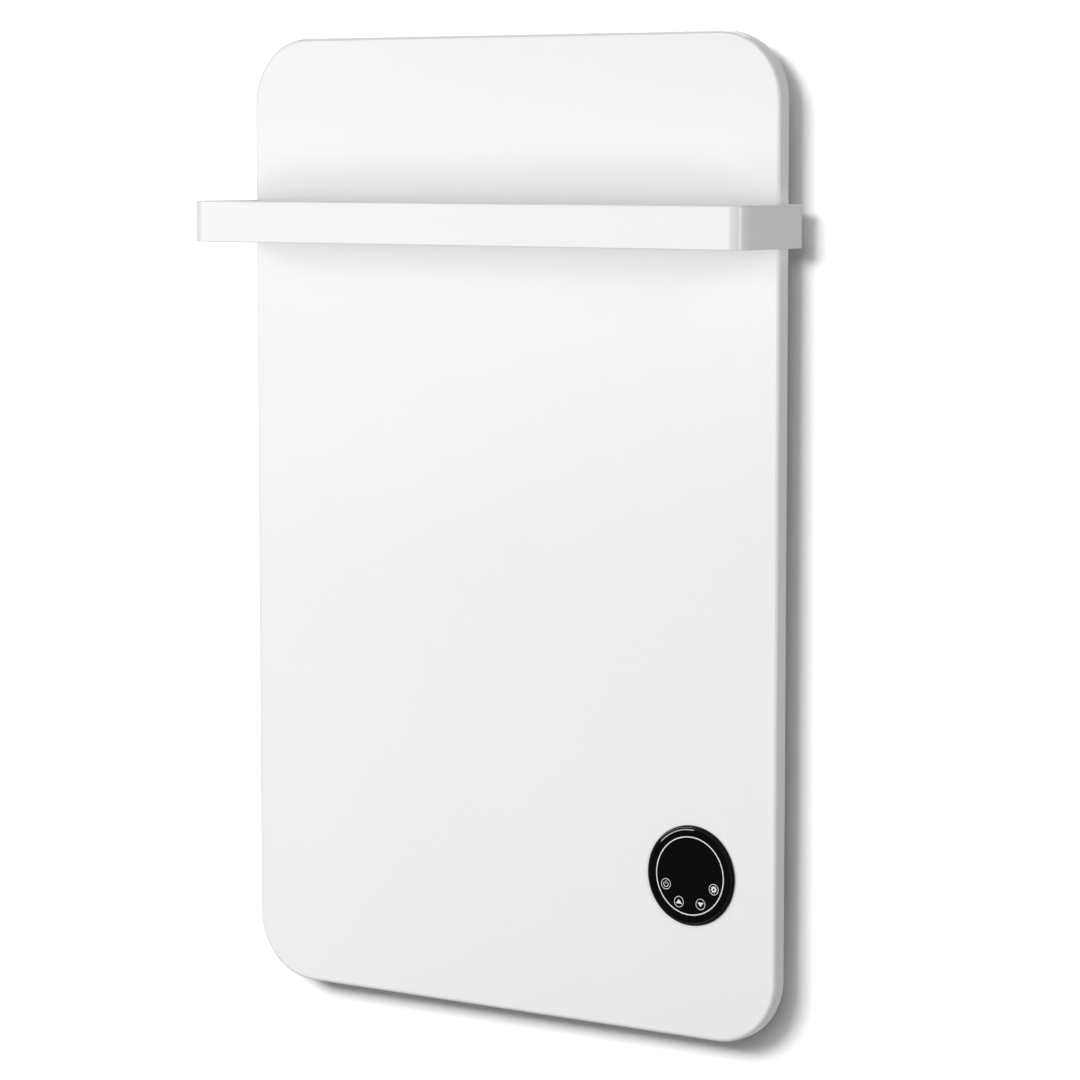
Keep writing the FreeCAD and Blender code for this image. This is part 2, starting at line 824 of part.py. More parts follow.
def control_bezel():
    """Black ring with a seat for the glass and a threaded spigot through the front sheet."""
    rim = rod_y(bezel_radius, control_x, control_z, bezel_front_y, front_y)
    rim = rim.makeFillet(bezel_rim_radius, edges_at(rim, y=bezel_front_y))
    spigot = rod_y(spigot_radius, control_x, control_z, front_y, front_y + spigot_length)
    recess_radius = glass_radius + glass_clearance
    cutters = [
        rod_y(recess_radius, control_x, control_z, bezel_front_y - cut_margin, ledge_y),
        rod_y(shoulder_radius, control_x, control_z, ledge_y - cut_margin, display_back_y),
        rod_y(
            spigot_bore_radius,
            control_x,
            control_z,
            display_board_y,
            front_y + spigot_length + cut_margin,
        ),
    ]
    for x, z in display_screw_places():
        depth = display_screw_length - board_sheet + tip_room
        radius = display_screw_radius + thread_clearance
        cutters.append(rod_y(radius, x, z, display_board_y - depth, display_board_y))
    return rim.fuse(spigot).cut(cutters).removeSplitter()


def touch_glass():
    disc = rod_y(glass_radius, control_x, control_z, glass_front_y, glass_back_y)
    return disc.makeFillet(glass_sink, edges_at(disc, y=glass_front_y))


def glass_seal():
    ring = rod_y(glass_radius, control_x, control_z, glass_back_y, ledge_y)
    bore = glass_radius - seal_width
    return ring.cut(rod_y(bore, control_x, control_z, glass_back_y - cut_margin, ledge_y + cut_margin))


def control_ring_nut():
    """Ring nut that clamps the bezel to the front sheet from behind."""
    back_y = cavity_y + ring_nut_height
    ring = rod_y(ring_nut_radius, control_x, control_z, cavity_y, back_y)
    bore = spigot_radius + thread_clearance
    cutters = [rod_y(bore, control_x, control_z, cavity_y - cut_margin, back_y + cut_margin)]
    notch = block(
        control_x + ring_nut_radius - ring_nut_notch_depth,
        control_x + ring_nut_radius + cut_margin,
        cavity_y + ring_nut_height / 2,
        back_y + cut_margin,
        control_z - ring_nut_notch_width / 2,
        control_z + ring_nut_notch_width / 2,
    )
    for step in range(ring_nut_notches):
        turned = notch.copy()
        turned.rotate(point(control_x, 0, control_z), point(0, 1, 0), 360 * step / ring_nut_notches)
        cutters.append(turned)
    return ring.cut(cutters)


def display_board():
    radius = spigot_bore_radius - board_clearance
    board = rod_y(radius, control_x, control_z, display_board_y, display_back_y)
    holes = []
    for x, z in display_screw_places():
        hole_radius = display_screw_radius + thread_clearance
        low = display_board_y - cut_margin
        holes.append(rod_y(hole_radius, x, z, low, display_back_y + cut_margin))
    return board.cut(holes)


def led_display():
    z = control_z + display_rise
    front = glass_back_y + display_glass_gap
    return standing_block(control_x, z, display_width, display_height, front, display_board_y)


def touch_pads():
    """Conductive foam posts between the board and the back of the glass, one behind each key."""
    posts = [rod_y(touch_pad_radius, x, z, glass_back_y, display_board_y) for x, z in key_places()]
    return Part.makeCompound(posts)


def display_screws():
    size = (
        display_screw_radius,
        display_screw_length,
        display_screw_head_radius,
        display_screw_head_height,
    )
    places = display_screw_places()
    return Part.makeCompound([headed_screw(x, z, display_back_y, *size) for x, z in places])


def buzzer():
    z = control_z - buzzer_drop
    return rod_y(buzzer_radius, control_x, z, display_back_y, display_back_y + buzzer_height)


def ribbon_cable():
    x = control_x + ribbon_offset[0]
    z = control_z + ribbon_offset[1]
    return standing_block(x, z, ribbon_width, ribbon_thickness, display_back_y, power_board_y)


def control_box():
    """Moulded box on the rear cover, with four screw ears, board bosses and the gland's hole."""
    outside = (box_size, box_size, box_corner_radius)
    body = rounded_plate(*outside, box_rim_y, box_back_y, control_x, control_z)
    body = body.makeFillet(box_edge_radius, edges_at(body, y=box_back_y))
    inside_size = box_size - 2 * box_wall
    inside = (inside_size, inside_size, box_corner_radius - box_wall)
    near_y = box_rim_y - cut_margin
    hollow = rounded_plate(*inside, near_y, box_back_y - box_wall, control_x, control_z)
    ears = []
    for x, z in ear_places():
        ear = standing_block(x, z, ear_width, ear_reach, rear_y, rear_y + ear_thickness)
        tip_z = z + math.copysign(ear_reach / 2, z - control_z)
        for side_x in (x - ear_width / 2, x + ear_width / 2):
            ear = ear.makeFillet(ear_corner_radius, edges_at(ear, x=side_x, z=tip_z))
        ears.append(ear)
    body = body.fuse(ears).cut(hollow)
    bosses = [rod_y(boss_radius, x, z, boss_y, box_back_y - box_wall) for x, z in boss_places()]
    body = body.fuse(bosses)
    cutters = []
    for x, z in ear_places():
        radius = box_screw_radius + hole_clearance
        far_y = rear_y + ear_thickness + cut_margin
        cutters.append(rod_y(radius, x, z, rear_y - cut_margin, far_y))
    for x, z in boss_places():
        depth = board_screw_length - board_sheet + tip_room
        cutters.append(rod_y(board_screw_radius + thread_clearance, x, z, boss_y, boss_y + depth))
    low = box_bottom_z - cut_margin
    high = box_bottom_z + box_wall + cut_margin
    cutters.append(rod_z(gland_thread_radius + gland_fit, control_x, gland_y, low, high))
    return body.cut(cutters).removeSplitter()


def box_gasket():
    outside = (box_size, box_size, box_corner_radius)
    ring = rounded_plate(*outside, rear_y, box_rim_y, control_x, control_z)
    inside = (box_opening, box_opening, box_opening_radius)
    near_y = rear_y - cut_margin
    return ring.cut(rounded_plate(*inside, near_y, box_rim_y + cut_margin, control_x, control_z))


def box_screws():
    size = (box_screw_radius, box_screw_length, box_screw_head_radius, box_screw_head_height)
    seat_y = rear_y + ear_thickness
    return Part.makeCompound([headed_screw(x, z, seat_y, *size) for x, z in ear_places()])


def power_board():
    size = power_board_size
    board = standing_block(control_x, control_z, size, size, power_board_y, boss_y)
    holes = []
    for x, z in boss_places():
        radius = board_screw_radius + thread_clearance
        holes.append(rod_y(radius, x, z, power_board_y - cut_margin, boss_y + cut_margin))
    return board.cut(holes)


def board_screws():
    size = (board_screw_radius, board_screw_length, board_screw_head_radius, board_screw_head_height)
    places = boss_places()
    return Part.makeCompound([headed_screw(x, z, power_board_y, *size, 1) for x, z in places])


def board_part(size, offset):
    """A block-shaped part soldered to the power board, standing towards the front."""
    width, height, rise = size
    x = control_x + offset[0]
    z = control_z + offset[1]
    return standing_block(x, z, width, height, power_board_y - rise, power_board_y)


def terminal_block():
    front = lead_y - lead_radius
    size = (terminal_block_width, terminal_block_depth)
    return standing_block(block_x, block_z, *size, front, power_board_y)


def gland_prism(z_low, z_high):
    wire = hex_wire(gland_flats, point(control_x, gland_y, z_low), point(1, 0, 0), point(0, 1, 0))
    return Part.Face(wire).extrude(point(0, 0, z_high - z_low))


def gland_body():
    """Hexagon flange below the box wall, thread through it and neck for the cap."""
    flange_low = box_bottom_z - gland_flange
    neck_low = flange_low - gland_neck_length
    thread_high = box_bottom_z + gland_thread_length
    flange = gland_prism(flange_low, box_bottom_z)
    thread = rod_z(gland_thread_radius, control_x, gland_y, box_bottom_z, thread_high)
    neck = rod_z(gland_neck_radius, control_x, gland_y, neck_low, flange_low)
    low = neck_low - cut_margin
    bore = rod_z(gland_bore_radius, control_x, gland_y, low, thread_high + cut_margin)
    return flange.fuse([thread, neck]).cut(bore).removeSplitter()


def gland_locknut():
    low = box_bottom_z + box_wall
    high = low + gland_nut_height
    radius = gland_thread_radius + gland_fit
    hole = rod_z(radius, control_x, gland_y, low - cut_margin, high + cut_margin)
    return gland_prism(low, high).cut(hole)


def gland_seal():
    high = box_bottom_z - gland_flange - gland_neck_length
    low = high - gland_seal_length
    ring = rod_z(gland_neck_radius, control_x, gland_y, low, high)
    margin = cut_margin
    return ring.cut(rod_z(gland_seal_bore_radius, control_x, gland_y, low - margin, high + margin))


def gland_cap():
    high = box_bottom_z - gland_flange
    seal_low = high - gland_neck_length - gland_seal_length
    low = seal_low - gland_cap_end
    cap = rod_z(gland_cap_radius, control_x, gland_y, low, high)
    cap = cap.makeFillet(gland_cap_end / 2, edges_at(cap, z=low))
    pocket = rod_z(gland_neck_radius + gland_fit, control_x, gland_y, seal_low, high + cut_margin)
    mouth = rod_z(gland_bore_radius, control_x, gland_y, low - cut_margin, seal_low + cut_margin)
    return cap.cut([pocket, mouth])


def lead(route, radius):
    """A round wire at lead_y along straight runs, with a tangent arc at each inner (x, z) point."""
    places = [point(x, lead_y, z) for x, z in route]
    edges = []
    start = places[0]
    for before, corner, after in zip(places, places[1:], places[2:]):
        towards = (corner - before).normalize()
        away = (after - corner).normalize()
        half_turn = towards.getAngle(away) / 2
        trim = lead_bend * math.tan(half_turn)
        inward = (away - towards).normalize()
        centre = corner + inward * (lead_bend / math.cos(half_turn))
        bend_start = corner - towards * trim
        bend_end = corner + away * trim
        edges.append(Part.LineSegment(start, bend_start).toShape())
        edges.append(Part.Arc(bend_start, centre - inward * lead_bend, bend_end).toShape())
        start = bend_end
    edges.append(Part.LineSegment(start, places[-1]).toShape())
    first_run = places[1] - places[0]
    section = Part.Wire(Part.Circle(places[0], first_run, radius).toShape())
    return Part.Wire(edges).makePipeShell([section], True, False)


def live_leads():
    """Terminal block to the lower cut-out, on to the upper one, then to the live busbar."""
    low_z, high_z = cutout_heights
    blade_reach = blade_spacing / 2 + blade_thickness / 2
    supply = lead([(live_x, block_top_z), (live_x, low_z - blade_reach)], lead_radius)
    link = lead([(live_x, low_z + blade_reach), (live_x, high_z - blade_reach)], lead_radius)
    last_route = [
        (live_x, high_z + blade_reach),
        (live_x, live_terminal_z),
        (busbar_x - terminal_lug_size / 2, live_terminal_z),
    ]
    return Part.makeCompound([supply, link, lead(last_route, lead_radius)])


def neutral_lead():
    route = [
        (neutral_x, block_top_z),
        (neutral_x, neutral_terminal_z),
        (-busbar_x + terminal_lug_size / 2, neutral_terminal_z),
    ]
    return lead(route, lead_radius)


def probe_lead():
    route = [
        (block_x + terminal_block_width / 2, block_z),
        (probe_x, block_z),
        (probe_x, probe_z - probe_size / 2),
    ]
    return lead(route, probe_lead_radius)


def earth_lead():
    """Wire from the terminal block to a ring lug on the earth stud."""
    route = [
        (block_x - terminal_block_width / 2, block_z),
        (earth_x, block_z),
        (earth_x, earth_z + earth_lug_radius - earth_lug_overlap),
    ]
    lug_back = earth_collar_y + earth_lug_thickness
    lug = rod_y(earth_lug_radius, earth_x, earth_z, earth_collar_y, lug_back)
    radius = earth_thread_radius + thread_clearance
    near_y = earth_collar_y - cut_margin
    lug = lug.cut(rod_y(radius, earth_x, earth_z, near_y, lug_back + cut_margin))
    return lead(route, lead_radius).fuse(lug).removeSplitter()


def earth_stud():
    """Stud welded inside the front sheet: a collar that carries the lug, and a short thread."""
    collar = rod_y(earth_collar_radius, earth_x, earth_z, cavity_y, earth_collar_y)
    thread_end = earth_collar_y + earth_thread_length
    thread = rod_y(earth_thread_radius, earth_x, earth_z, earth_collar_y, thread_end)
    return collar.fuse(thread).removeSplitter()


def earth_nut():
    low = earth_collar_y + earth_lug_thickness
    wire = hex_wire(earth_nut_flats, point(earth_x, low, earth_z), point(1, 0, 0), point(0, 0, 1))
    nut = Part.Face(wire).extrude(point(0, earth_nut_height, 0))
    radius = earth_thread_radius + thread_clearance
    high = low + earth_nut_height + cut_margin
    return nut.cut(rod_y(radius, earth_x, earth_z, low - cut_margin, high))


pieces = {
    "upper_wall_rail": wall_rail(rail_row_z),
    "lower_wall_rail": wall_rail(-rail_row_z),
    "front_panel": front_panel(),
    "rear_cover": rear_cover(),
    "cover_screws": cover_screws(),
    "hanger_rivets": hanger_rivets(),
    "towel_bar": towel_bar(),
    "bar_end_plug_left": mirrored(bar_end_plug()),
    "bar_end_plug_right": bar_end_plug(),
    "bar_backing_plate_left": mirrored(bar_backing_plate()),
    "bar_backing_plate_right": bar_backing_plate(),
    "bar_screws": bar_screws(),
    "mica_sheet_front": heater_sheet(cavity_y, film_y),
    "heating_strips": heating_strips(),
    "busbar_live": busbar(1),
    "busbar_neutral": busbar(-1),
    "mica_sheet_back": mica_sheet_back(),
    "reflector_foil": heater_sheet(foil_y, insulation_y).cut(passages(foil_y, insulation_y)),
    "insulation_board": heater_sheet(insulation_y, insulation_back_y).cut(
        passages(insulation_y, insulation_back_y)
    ),
    "spacer_pads": spacer_pads(),
    "busbar_terminals": busbar_terminals(),
    "overheat_cutout_lower": overheat_cutout(cutout_heights[0]),
    "overheat_cutout_upper": overheat_cutout(cutout_heights[1]),
    "ntc_probe": ntc_probe(),
    "control_bezel": control_bezel(),
    "touch_glass": touch_glass(),
    "glass_seal": glass_seal(),
    "control_ring_nut": control_ring_nut(),
    "display_board": display_board(),
    "led_display": led_display(),
    "touch_pads": touch_pads(),
    "display_screws": display_screws(),
    "buzzer": buzzer(),
    "ribbon_cable": ribbon_cable(),
    "control_box": control_box(),
    "box_gasket": box_gasket(),
    "box_screws": box_screws(),
    "power_board": power_board(),
    "board_screws": board_screws(),
    "relay": board_part(relay_size, relay_offset),
    "transformer": board_part(transformer_size, transformer_offset),
    "filter_capacitor": board_part(capacitor_size, capacitor_offset),
    "terminal_block": terminal_block(),
    "gland_body": gland_body(),
    "gland_locknut": gland_locknut(),
    "gland_seal": gland_seal(),
    "gland_cap": gland_cap(),
    "live_leads": live_leads(),
    "neutral_lead": neutral_lead(),
    "probe_lead": probe_lead(),
    "earth_lead": earth_lead(),
    "earth_stud": earth_stud(),
    "earth_nut": earth_nut(),
}
for hanger_name, (hanger_x, hanger_z) in hanger_places().items():
    pieces[hanger_name] = hanger(hanger_x, hanger_z)

os.makedirs("parts", exist_ok=True)
for name, shape in pieces.items():
    shape.exportStep(f"parts/{name}.step")
    print(name, "solids", len(shape.Solids), "valid", shape.isValid(), "mm3", round(shape.Volume))
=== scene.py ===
import json
import logging
import math
from contextlib import contextmanager
from dataclasses import dataclass
from enum import Enum
from typing import Any, Callable, Iterator, NamedTuple, Sequence, Union

import bmesh
import bpy
from mathutils import Euler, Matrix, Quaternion, Vector


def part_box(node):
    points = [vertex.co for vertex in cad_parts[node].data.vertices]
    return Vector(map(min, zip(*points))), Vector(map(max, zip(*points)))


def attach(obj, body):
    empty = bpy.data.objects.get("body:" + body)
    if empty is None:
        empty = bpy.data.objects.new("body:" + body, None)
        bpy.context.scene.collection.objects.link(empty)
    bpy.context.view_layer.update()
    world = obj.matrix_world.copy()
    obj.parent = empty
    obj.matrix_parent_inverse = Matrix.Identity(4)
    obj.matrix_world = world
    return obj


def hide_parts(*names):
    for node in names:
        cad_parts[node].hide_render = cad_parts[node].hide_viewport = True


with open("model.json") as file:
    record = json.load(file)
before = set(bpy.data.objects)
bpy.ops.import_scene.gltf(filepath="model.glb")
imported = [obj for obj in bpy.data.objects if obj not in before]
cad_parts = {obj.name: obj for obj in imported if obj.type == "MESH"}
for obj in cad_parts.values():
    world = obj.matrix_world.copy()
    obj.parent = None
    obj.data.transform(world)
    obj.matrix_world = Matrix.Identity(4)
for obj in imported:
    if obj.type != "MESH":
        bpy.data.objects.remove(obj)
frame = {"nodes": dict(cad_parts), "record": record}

MM = 0.001
NEAR = 1e-6
ALIGNED = 0.999
CREASE = math.radians(40)
BITE = math.radians(50)
QUARTER = math.radians(90)
TURNED_STEPS = 6
INWARDS = -1.0
BOTH_WAYS = 0.0
BOTH_SIDES = (-1.0, 1.0)
UNSCALED = (1.0, 1.0, 1.0)
ORIGIN = Vector((0.0, 0.0, 0.0))
X_AXIS = Vector((1.0, 0.0, 0.0))
Y_AXIS = Vector((0.0, 1.0, 0.0))
Z_AXIS = Vector((0.0, 0.0, 1.0))
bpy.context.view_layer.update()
LOG = logging.getLogger("towel_warmer")

Colour = tuple[float, float, float]
Outline = Sequence[tuple[float, ...]]
Test = Callable[[Any], bool]
Table = Union[dict[Any, Any], None]


# Bench tools

class Element(Enum):
    """What a selection in edit mode is made of."""

    VERT = "verts"
    EDGE = "edges"
    FACE = "faces"


class Carve(Enum):
    """How one solid works on another."""

    CUT = "DIFFERENCE"
    FUSE = "UNION"


class Round(NamedTuple):
    """The radius of something round, and how many steps it is modelled in."""

    radius: float
    steps: int


def every(_element: Any) -> bool:
    """Pass every element."""
    return True


def at(*points: Vector) -> Test:
    """Pass the vertices at any of these points."""
    return lambda vert: any((vert.co - point).length < NEAR for point in points)


def facing(direction: Vector) -> Test:
    """Pass the faces whose normal points along a direction."""
    return lambda face: face.normal.dot(direction) > ALIGNED


def runs_deep(edge: bmesh.types.BMEdge) -> bool:
    """Pass the edges that run along the depth axis."""
    return abs((edge.verts[1].co - edge.verts[0].co).normalized().dot(Y_AXIS)) > ALIGNED


def crease_at(depth: float) -> Test:
    """Pass the sharp edges that lie in the plane at a depth.

    Args:
        depth: where the plane is on the depth axis.

    Returns:
        The test of an edge.
    """
    def test(edge: bmesh.types.BMEdge) -> bool:
        """Tell whether both ends are in the plane and the edge is a crease."""
        level = all(abs(vert.co.y - depth) < 10 * NEAR for vert in edge.verts)
        return level and edge.is_manifold and edge.calc_face_angle(0.0) > CREASE

    return test


def evenly(reach: float, count: int) -> list[float]:
    """Share out a count of places, two or more, from -reach to reach."""
    return [-reach + 2 * reach * index / (count - 1) for index in range(count)]


def middle_of(node: str) -> Vector:
    """Give the middle of a CAD node's box."""
    low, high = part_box(node)
    return (low + high) / 2


def clear_bench() -> None:
    """Deselect everything."""
    bpy.ops.object.select_all(action="DESELECT")


def extrude(move: Vector) -> None:
    """Extrude what is selected in edit mode."""
    bpy.ops.mesh.extrude_region_move(TRANSFORM_OT_translate={"value": move})


def inset(rim: float, lift: float = 0.0) -> None:
    """Inset the faces selected in edit mode by a rim, and lift what is inside it."""
    bpy.ops.mesh.inset(thickness=rim, depth=lift, use_even_offset=True)


class Blank:
    """One mesh on the bench, shaped by Blender's own operators."""

    def __init__(self, name: str, scale: Sequence[float] = UNSCALED) -> None:
        """Take the active object as the blank, and put its place, turn and scale into its mesh.

        Args:
            name: the name of the object and its mesh.
            scale: what the object is scaled by first.
        """
        self.piece = bpy.context.object
        self.piece.name = name
        self.piece.data.name = name
        self.piece.scale = scale
        self.alone()
        bpy.ops.object.transform_apply(location=True, rotation=True, scale=True)

    @classmethod
    def add(cls, name: str, operator: Callable[..., Any], scale: Sequence[float] = UNSCALED,
            **settings: Any) -> "Blank":
        """Add a primitive with nothing else selected.

        Args:
            name: the name of the object.
            operator: what adds the primitive.
            scale: what the primitive is scaled by.
            settings: what the operator is given.

        Returns:
            The blank.
        """
        clear_bench()
        operator(**settings)
        return cls(name, scale)

    @classmethod
    def block(cls, name: str, low: Sequence[float], high: Sequence[float]) -> "Blank":
        """Add a cube that fills a box.

        Args:
            name: the name of the object.
            low: the box's lowest corner.
            high: its highest corner.

        Returns:
            The blank.
        """
        low, high = Vector(low), Vector(high)
        return cls.add(name, bpy.ops.mesh.primitive_cube_add, high - low, size=1.0,
                       location=(low + high) / 2)

    @classmethod
    def slab(cls, name: str, middle: tuple[float, float], halves: tuple[float, float],
             depths: tuple[float, float]) -> "Blank":
        """Add a cube about a middle.

        Args:
            name: the name of the object.
            middle: the middle, across and up.
            halves: half its width and half its height.
            depths: where its front and its back are.

        Returns:
            The blank.
        """
        low = (middle[0] - halves[0], depths[0], middle[1] - halves[1])
        high = (middle[0] + halves[0], depths[1], middle[1] + halves[1])
        return cls.block(name, low, high)

    @classmethod
    def rod(cls, name: str, start: Vector, end: Vector, section: Round) -> "Blank":
        """Add a cylinder between two points.

        Args:
            name: the name of the object.
            start: the middle of one end.
            end: the middle of the other end.
            section: the cylinder's radius and how many sides it has.

        Returns:
            The blank.
        """
        span = end - start
        return cls.add(name, bpy.ops.mesh.primitive_cylinder_add, vertices=section.steps,
                       radius=section.radius, depth=span.length, location=(start + end) / 2,
                       rotation=span.to_track_quat("Z", "Y").to_euler())

    @classmethod
    def upright(cls, name: str, centre: Vector, width: float, height: float) -> "Blank":
        """Add an upright plane across the depth axis, of a width and a height."""
        return cls.add(name, bpy.ops.mesh.primitive_plane_add, (width, height, 1.0), size=1.0,
                       location=centre, rotation=(QUARTER, 0.0, 0.0))

    @classmethod
    def wire(cls, name: str, points: Sequence[Vector], closed: bool = False) -> "Blank":
        """Extrude one point along a line of points.

        Args:
            name: the name of the object.
            points: the corners of the line.
            closed: whether the last point is joined to the first.

        Returns:
            The blank, edges only.
        """
        blank = cls.add(name, bpy.ops.mesh.primitive_plane_add, size=10 * MM, location=points[0])
        with blank.editing(Element.VERT):
            bpy.ops.mesh.merge(type="CENTER")
            bpy.ops.mesh.select_all(action="SELECT")
            for here, there in zip(points, points[1:]):
                extrude(there - here)
            if closed:
                blank.choose(Element.VERT, at(points[0], points[-1]))
                bpy.ops.mesh.edge_face_add()
        return blank

    @classmethod
    def lathe(cls, name: str, centre: Vector, axis: Vector, outline: Outline, steps: int,
              closed: bool = False) -> "Blank":
        """Turn an outline a full round.

        Args:
            name: the name of the object.
            centre: a point on the axis, from which the outline's heights count.
            axis: the direction of the axis, across the X axis.
            outline: for each corner its radius, its height and, if it is rounded, by what radius.
            steps: how many steps the round has.
            closed: whether the outline's last corner is joined to the first.

        Returns:
            The blank, a closed solid.
        """
        points = [centre + X_AXIS * radius + axis * height for radius, height, *_ in outline]
        blank = cls.wire(name, points, closed)
        for point, (_, _, *roundings) in zip(points, outline):
            for radius in roundings:
                blank.round_off(at(point), Round(radius, TURNED_STEPS), Element.VERT)
        with blank.editing(Element.VERT):
            bpy.ops.mesh.spin(steps=steps, angle=math.tau, center=centre, axis=axis)
        return blank.clean()

    def alone(self) -> None:
        """Select this blank and nothing else."""
        clear_bench()
        self.piece.select_set(True)
        bpy.context.view_layer.objects.active = self.piece

    def scrap(self) -> None:
        """Take the blank off the bench."""
        bpy.data.meshes.remove(self.piece.data)

    @contextmanager
    def editing(self, kind: Element, test: Test = every) -> Iterator[None]:
        """Open the mesh in edit mode with a selection, and close it afterwards.

        Args:
            kind: what the selection is made of.
            test: what is selected.
        """
        self.alone()
        bpy.ops.object.mode_set(mode="EDIT")
        bpy.ops.mesh.select_mode(type=kind.name)
        self.choose(kind, test)
        yield
        bpy.ops.object.mode_set(mode="OBJECT")

    def choose(self, kind: Element, test: Test) -> None:
        """Select, in edit mode, nothing but the elements that pass a test.

        Args:
            kind: what the selection is made of.
            test: what is selected.
        """
        bpy.ops.mesh.select_all(action="DESELECT")
        mesh = bmesh.from_edit_mesh(self.piece.data)
        mesh.normal_update()
        for element in [item for item in getattr(mesh, kind.value) if test(item)]:
            element.select_set(True)
        mesh.select_flush_mode()
        bmesh.update_edit_mesh(self.piece.data)

    def round_off(self, test: Test, rounding: Round, kind: Element = Element.EDGE) -> "Blank":
        """Round the edges, or the corners of a flat outline, that pass a test.

        Args:
            test: what is rounded.
            rounding: the radius and how many steps it takes.
            kind: whether edges or vertices are rounded.

        Returns:
            The blank.
        """
        affected = "EDGES" if kind is Element.EDGE else "VERTICES"
        with self.editing(kind, test):
            bpy.ops.mesh.bevel(offset=rounding.radius, segments=rounding.steps, affect=affected)
        return self

    def clean(self) -> "Blank":
        """Merge doubled points, take out faces without a size and turn the rest outwards.

        Returns:
            The blank.
        """
        with self.editing(Element.VERT):
            bpy.ops.mesh.remove_doubles(threshold=NEAR)
            bpy.ops.mesh.dissolve_degenerate(threshold=NEAR)
            bpy.ops.mesh.normals_make_consistent(inside=False)
        return self

    def modify(self, kind: str, **settings: Any) -> "Blank":
        """Add a modifier and apply it.

        Args:
            kind: the modifier's type.
            settings: what is set on it.

        Returns:
            The blank.
        """
        self.alone()
        step = self.piece.modifiers.new(kind.lower(), kind)
        for key, value in settings.items():
            setattr(step, key, value)
        bpy.ops.object.modifier_apply(modifier=step.name)
        return self

    def thicken(self, sheet: float, offset: float) -> "Blank":
        """Give a surface a wall, inwards or both ways."""
        return self.modify("SOLIDIFY", thickness=sheet, offset=offset, use_even_offset=True)

    def soften(self, radius: float) -> "Blank":
        """Take the bite off every sharp edge."""
        return self.modify("BEVEL", width=radius, segments=2, limit_method="ANGLE", angle_limit=BITE)

    def carve(self, how: Carve, *tools: "Blank") -> "Blank":
        """Cut tools out of the blank or fuse them to it, one after the other.

        Args:
            how: whether they are cut out or fused.
            tools: the tools, which are scrapped.

        Returns:
            The blank.
        """
        for tool in tools:
            self.modify("BOOLEAN", operation=how.value, solver="EXACT", object=tool.piece)
            tool.scrap()
        return self

    def smooth(self, degrees: float = 35.0) -> "Blank":
        """Shade it smooth up to an angle, with flat faces kept flat.

        Args:
            degrees: the angle from which an edge stays sharp.

        Returns:
            The blank.
        """
        self.alone()
        bpy.ops.object.shade_smooth_by_angle(angle=math.radians(degrees))
        return self.modify("WEIGHTED_NORMAL", keep_sharp=True)

    def twin(self, name: str, move: Vector, turn: Sequence[float] = (0.0, 0.0, 0.0)) -> "Blank":
        """Copy the blank with a mesh of its own.

        Args:
            name: the copy's name.
            move: how far the copy is moved.
            turn: how far it is turned about the origin before that, in degrees.

        Returns:
            The copy.
        """
        self.alone()
        bpy.ops.object.duplicate(linked=False)
        bpy.context.object.location = move
        bpy.context.object.rotation_euler = Euler([math.radians(angle) for angle in turn])
        return Blank(name)

    def joined(self, *others: "Blank") -> "Blank":
        """Take other blanks into this one as loose solids.

        Args:
            others: the blanks that go into it.

        Returns:
            The blank.
        """
        self.alone()
        for other in others:
            other.piece.select_set(True)
        bpy.ops.object.join()
        return self

    def scattered(self, places: Sequence[Vector], turn: float) -> "Blank":
        """Put a copy at each place, in one piece, each one turned further about the depth axis.

        Args:
            places: where the copies go.
            turn: how much further each one is turned, in degrees.

        Returns:
            The piece that holds the copies; the master is scrapped.
        """
        name = self.piece.name
        self.piece.name = name + "_master"
        copies = [self.twin(name, place, Y_AXIS * turn * index) for index, place in enumerate(places)]
        self.scrap()
        return copies[0].joined(*copies[1:])


# Shader tools

def math_step(operation: str, reflected: bool = False) -> Callable[["Signal", "Value"], "Signal"]:
    """Make an operator of signals that adds a Math node.

    Args:
        operation: what the node works out.
        reflected: whether the signal is the second value.

    Returns:
        The operator.
    """
    def step(signal: "Signal", other: "Value") -> "Signal":
        """Work out a signal and another value."""
        first, second = (other, signal) if reflected else (signal, other)
        return signal.graph.feed("ShaderNodeMath", {"operation": operation}, {0: first, 1: second})

    return step


class Signal:
    """A shader socket that takes part in Python expressions, in which | joins two masks."""

    __add__ = math_step("ADD")
    __radd__ = math_step("ADD", reflected=True)
    __sub__ = math_step("SUBTRACT")
    __rsub__ = math_step("SUBTRACT", reflected=True)
    __mul__ = math_step("MULTIPLY")
    __rmul__ = math_step("MULTIPLY", reflected=True)
    __or__ = math_step("MAXIMUM")
    __lt__ = math_step("LESS_THAN")

    def __init__(self, graph: "Graph", socket: bpy.types.NodeSocket) -> None:
        """Hold a socket and the graph that it is in."""
        self.graph = graph
        self.socket = socket


Value = Union[Signal, float]

# Places of the Mix node's sockets when it mixes colours
MIX_FACTOR = 0
MIX_FIRST = 6
MIX_SECOND = 7
MIX_RESULT = 2


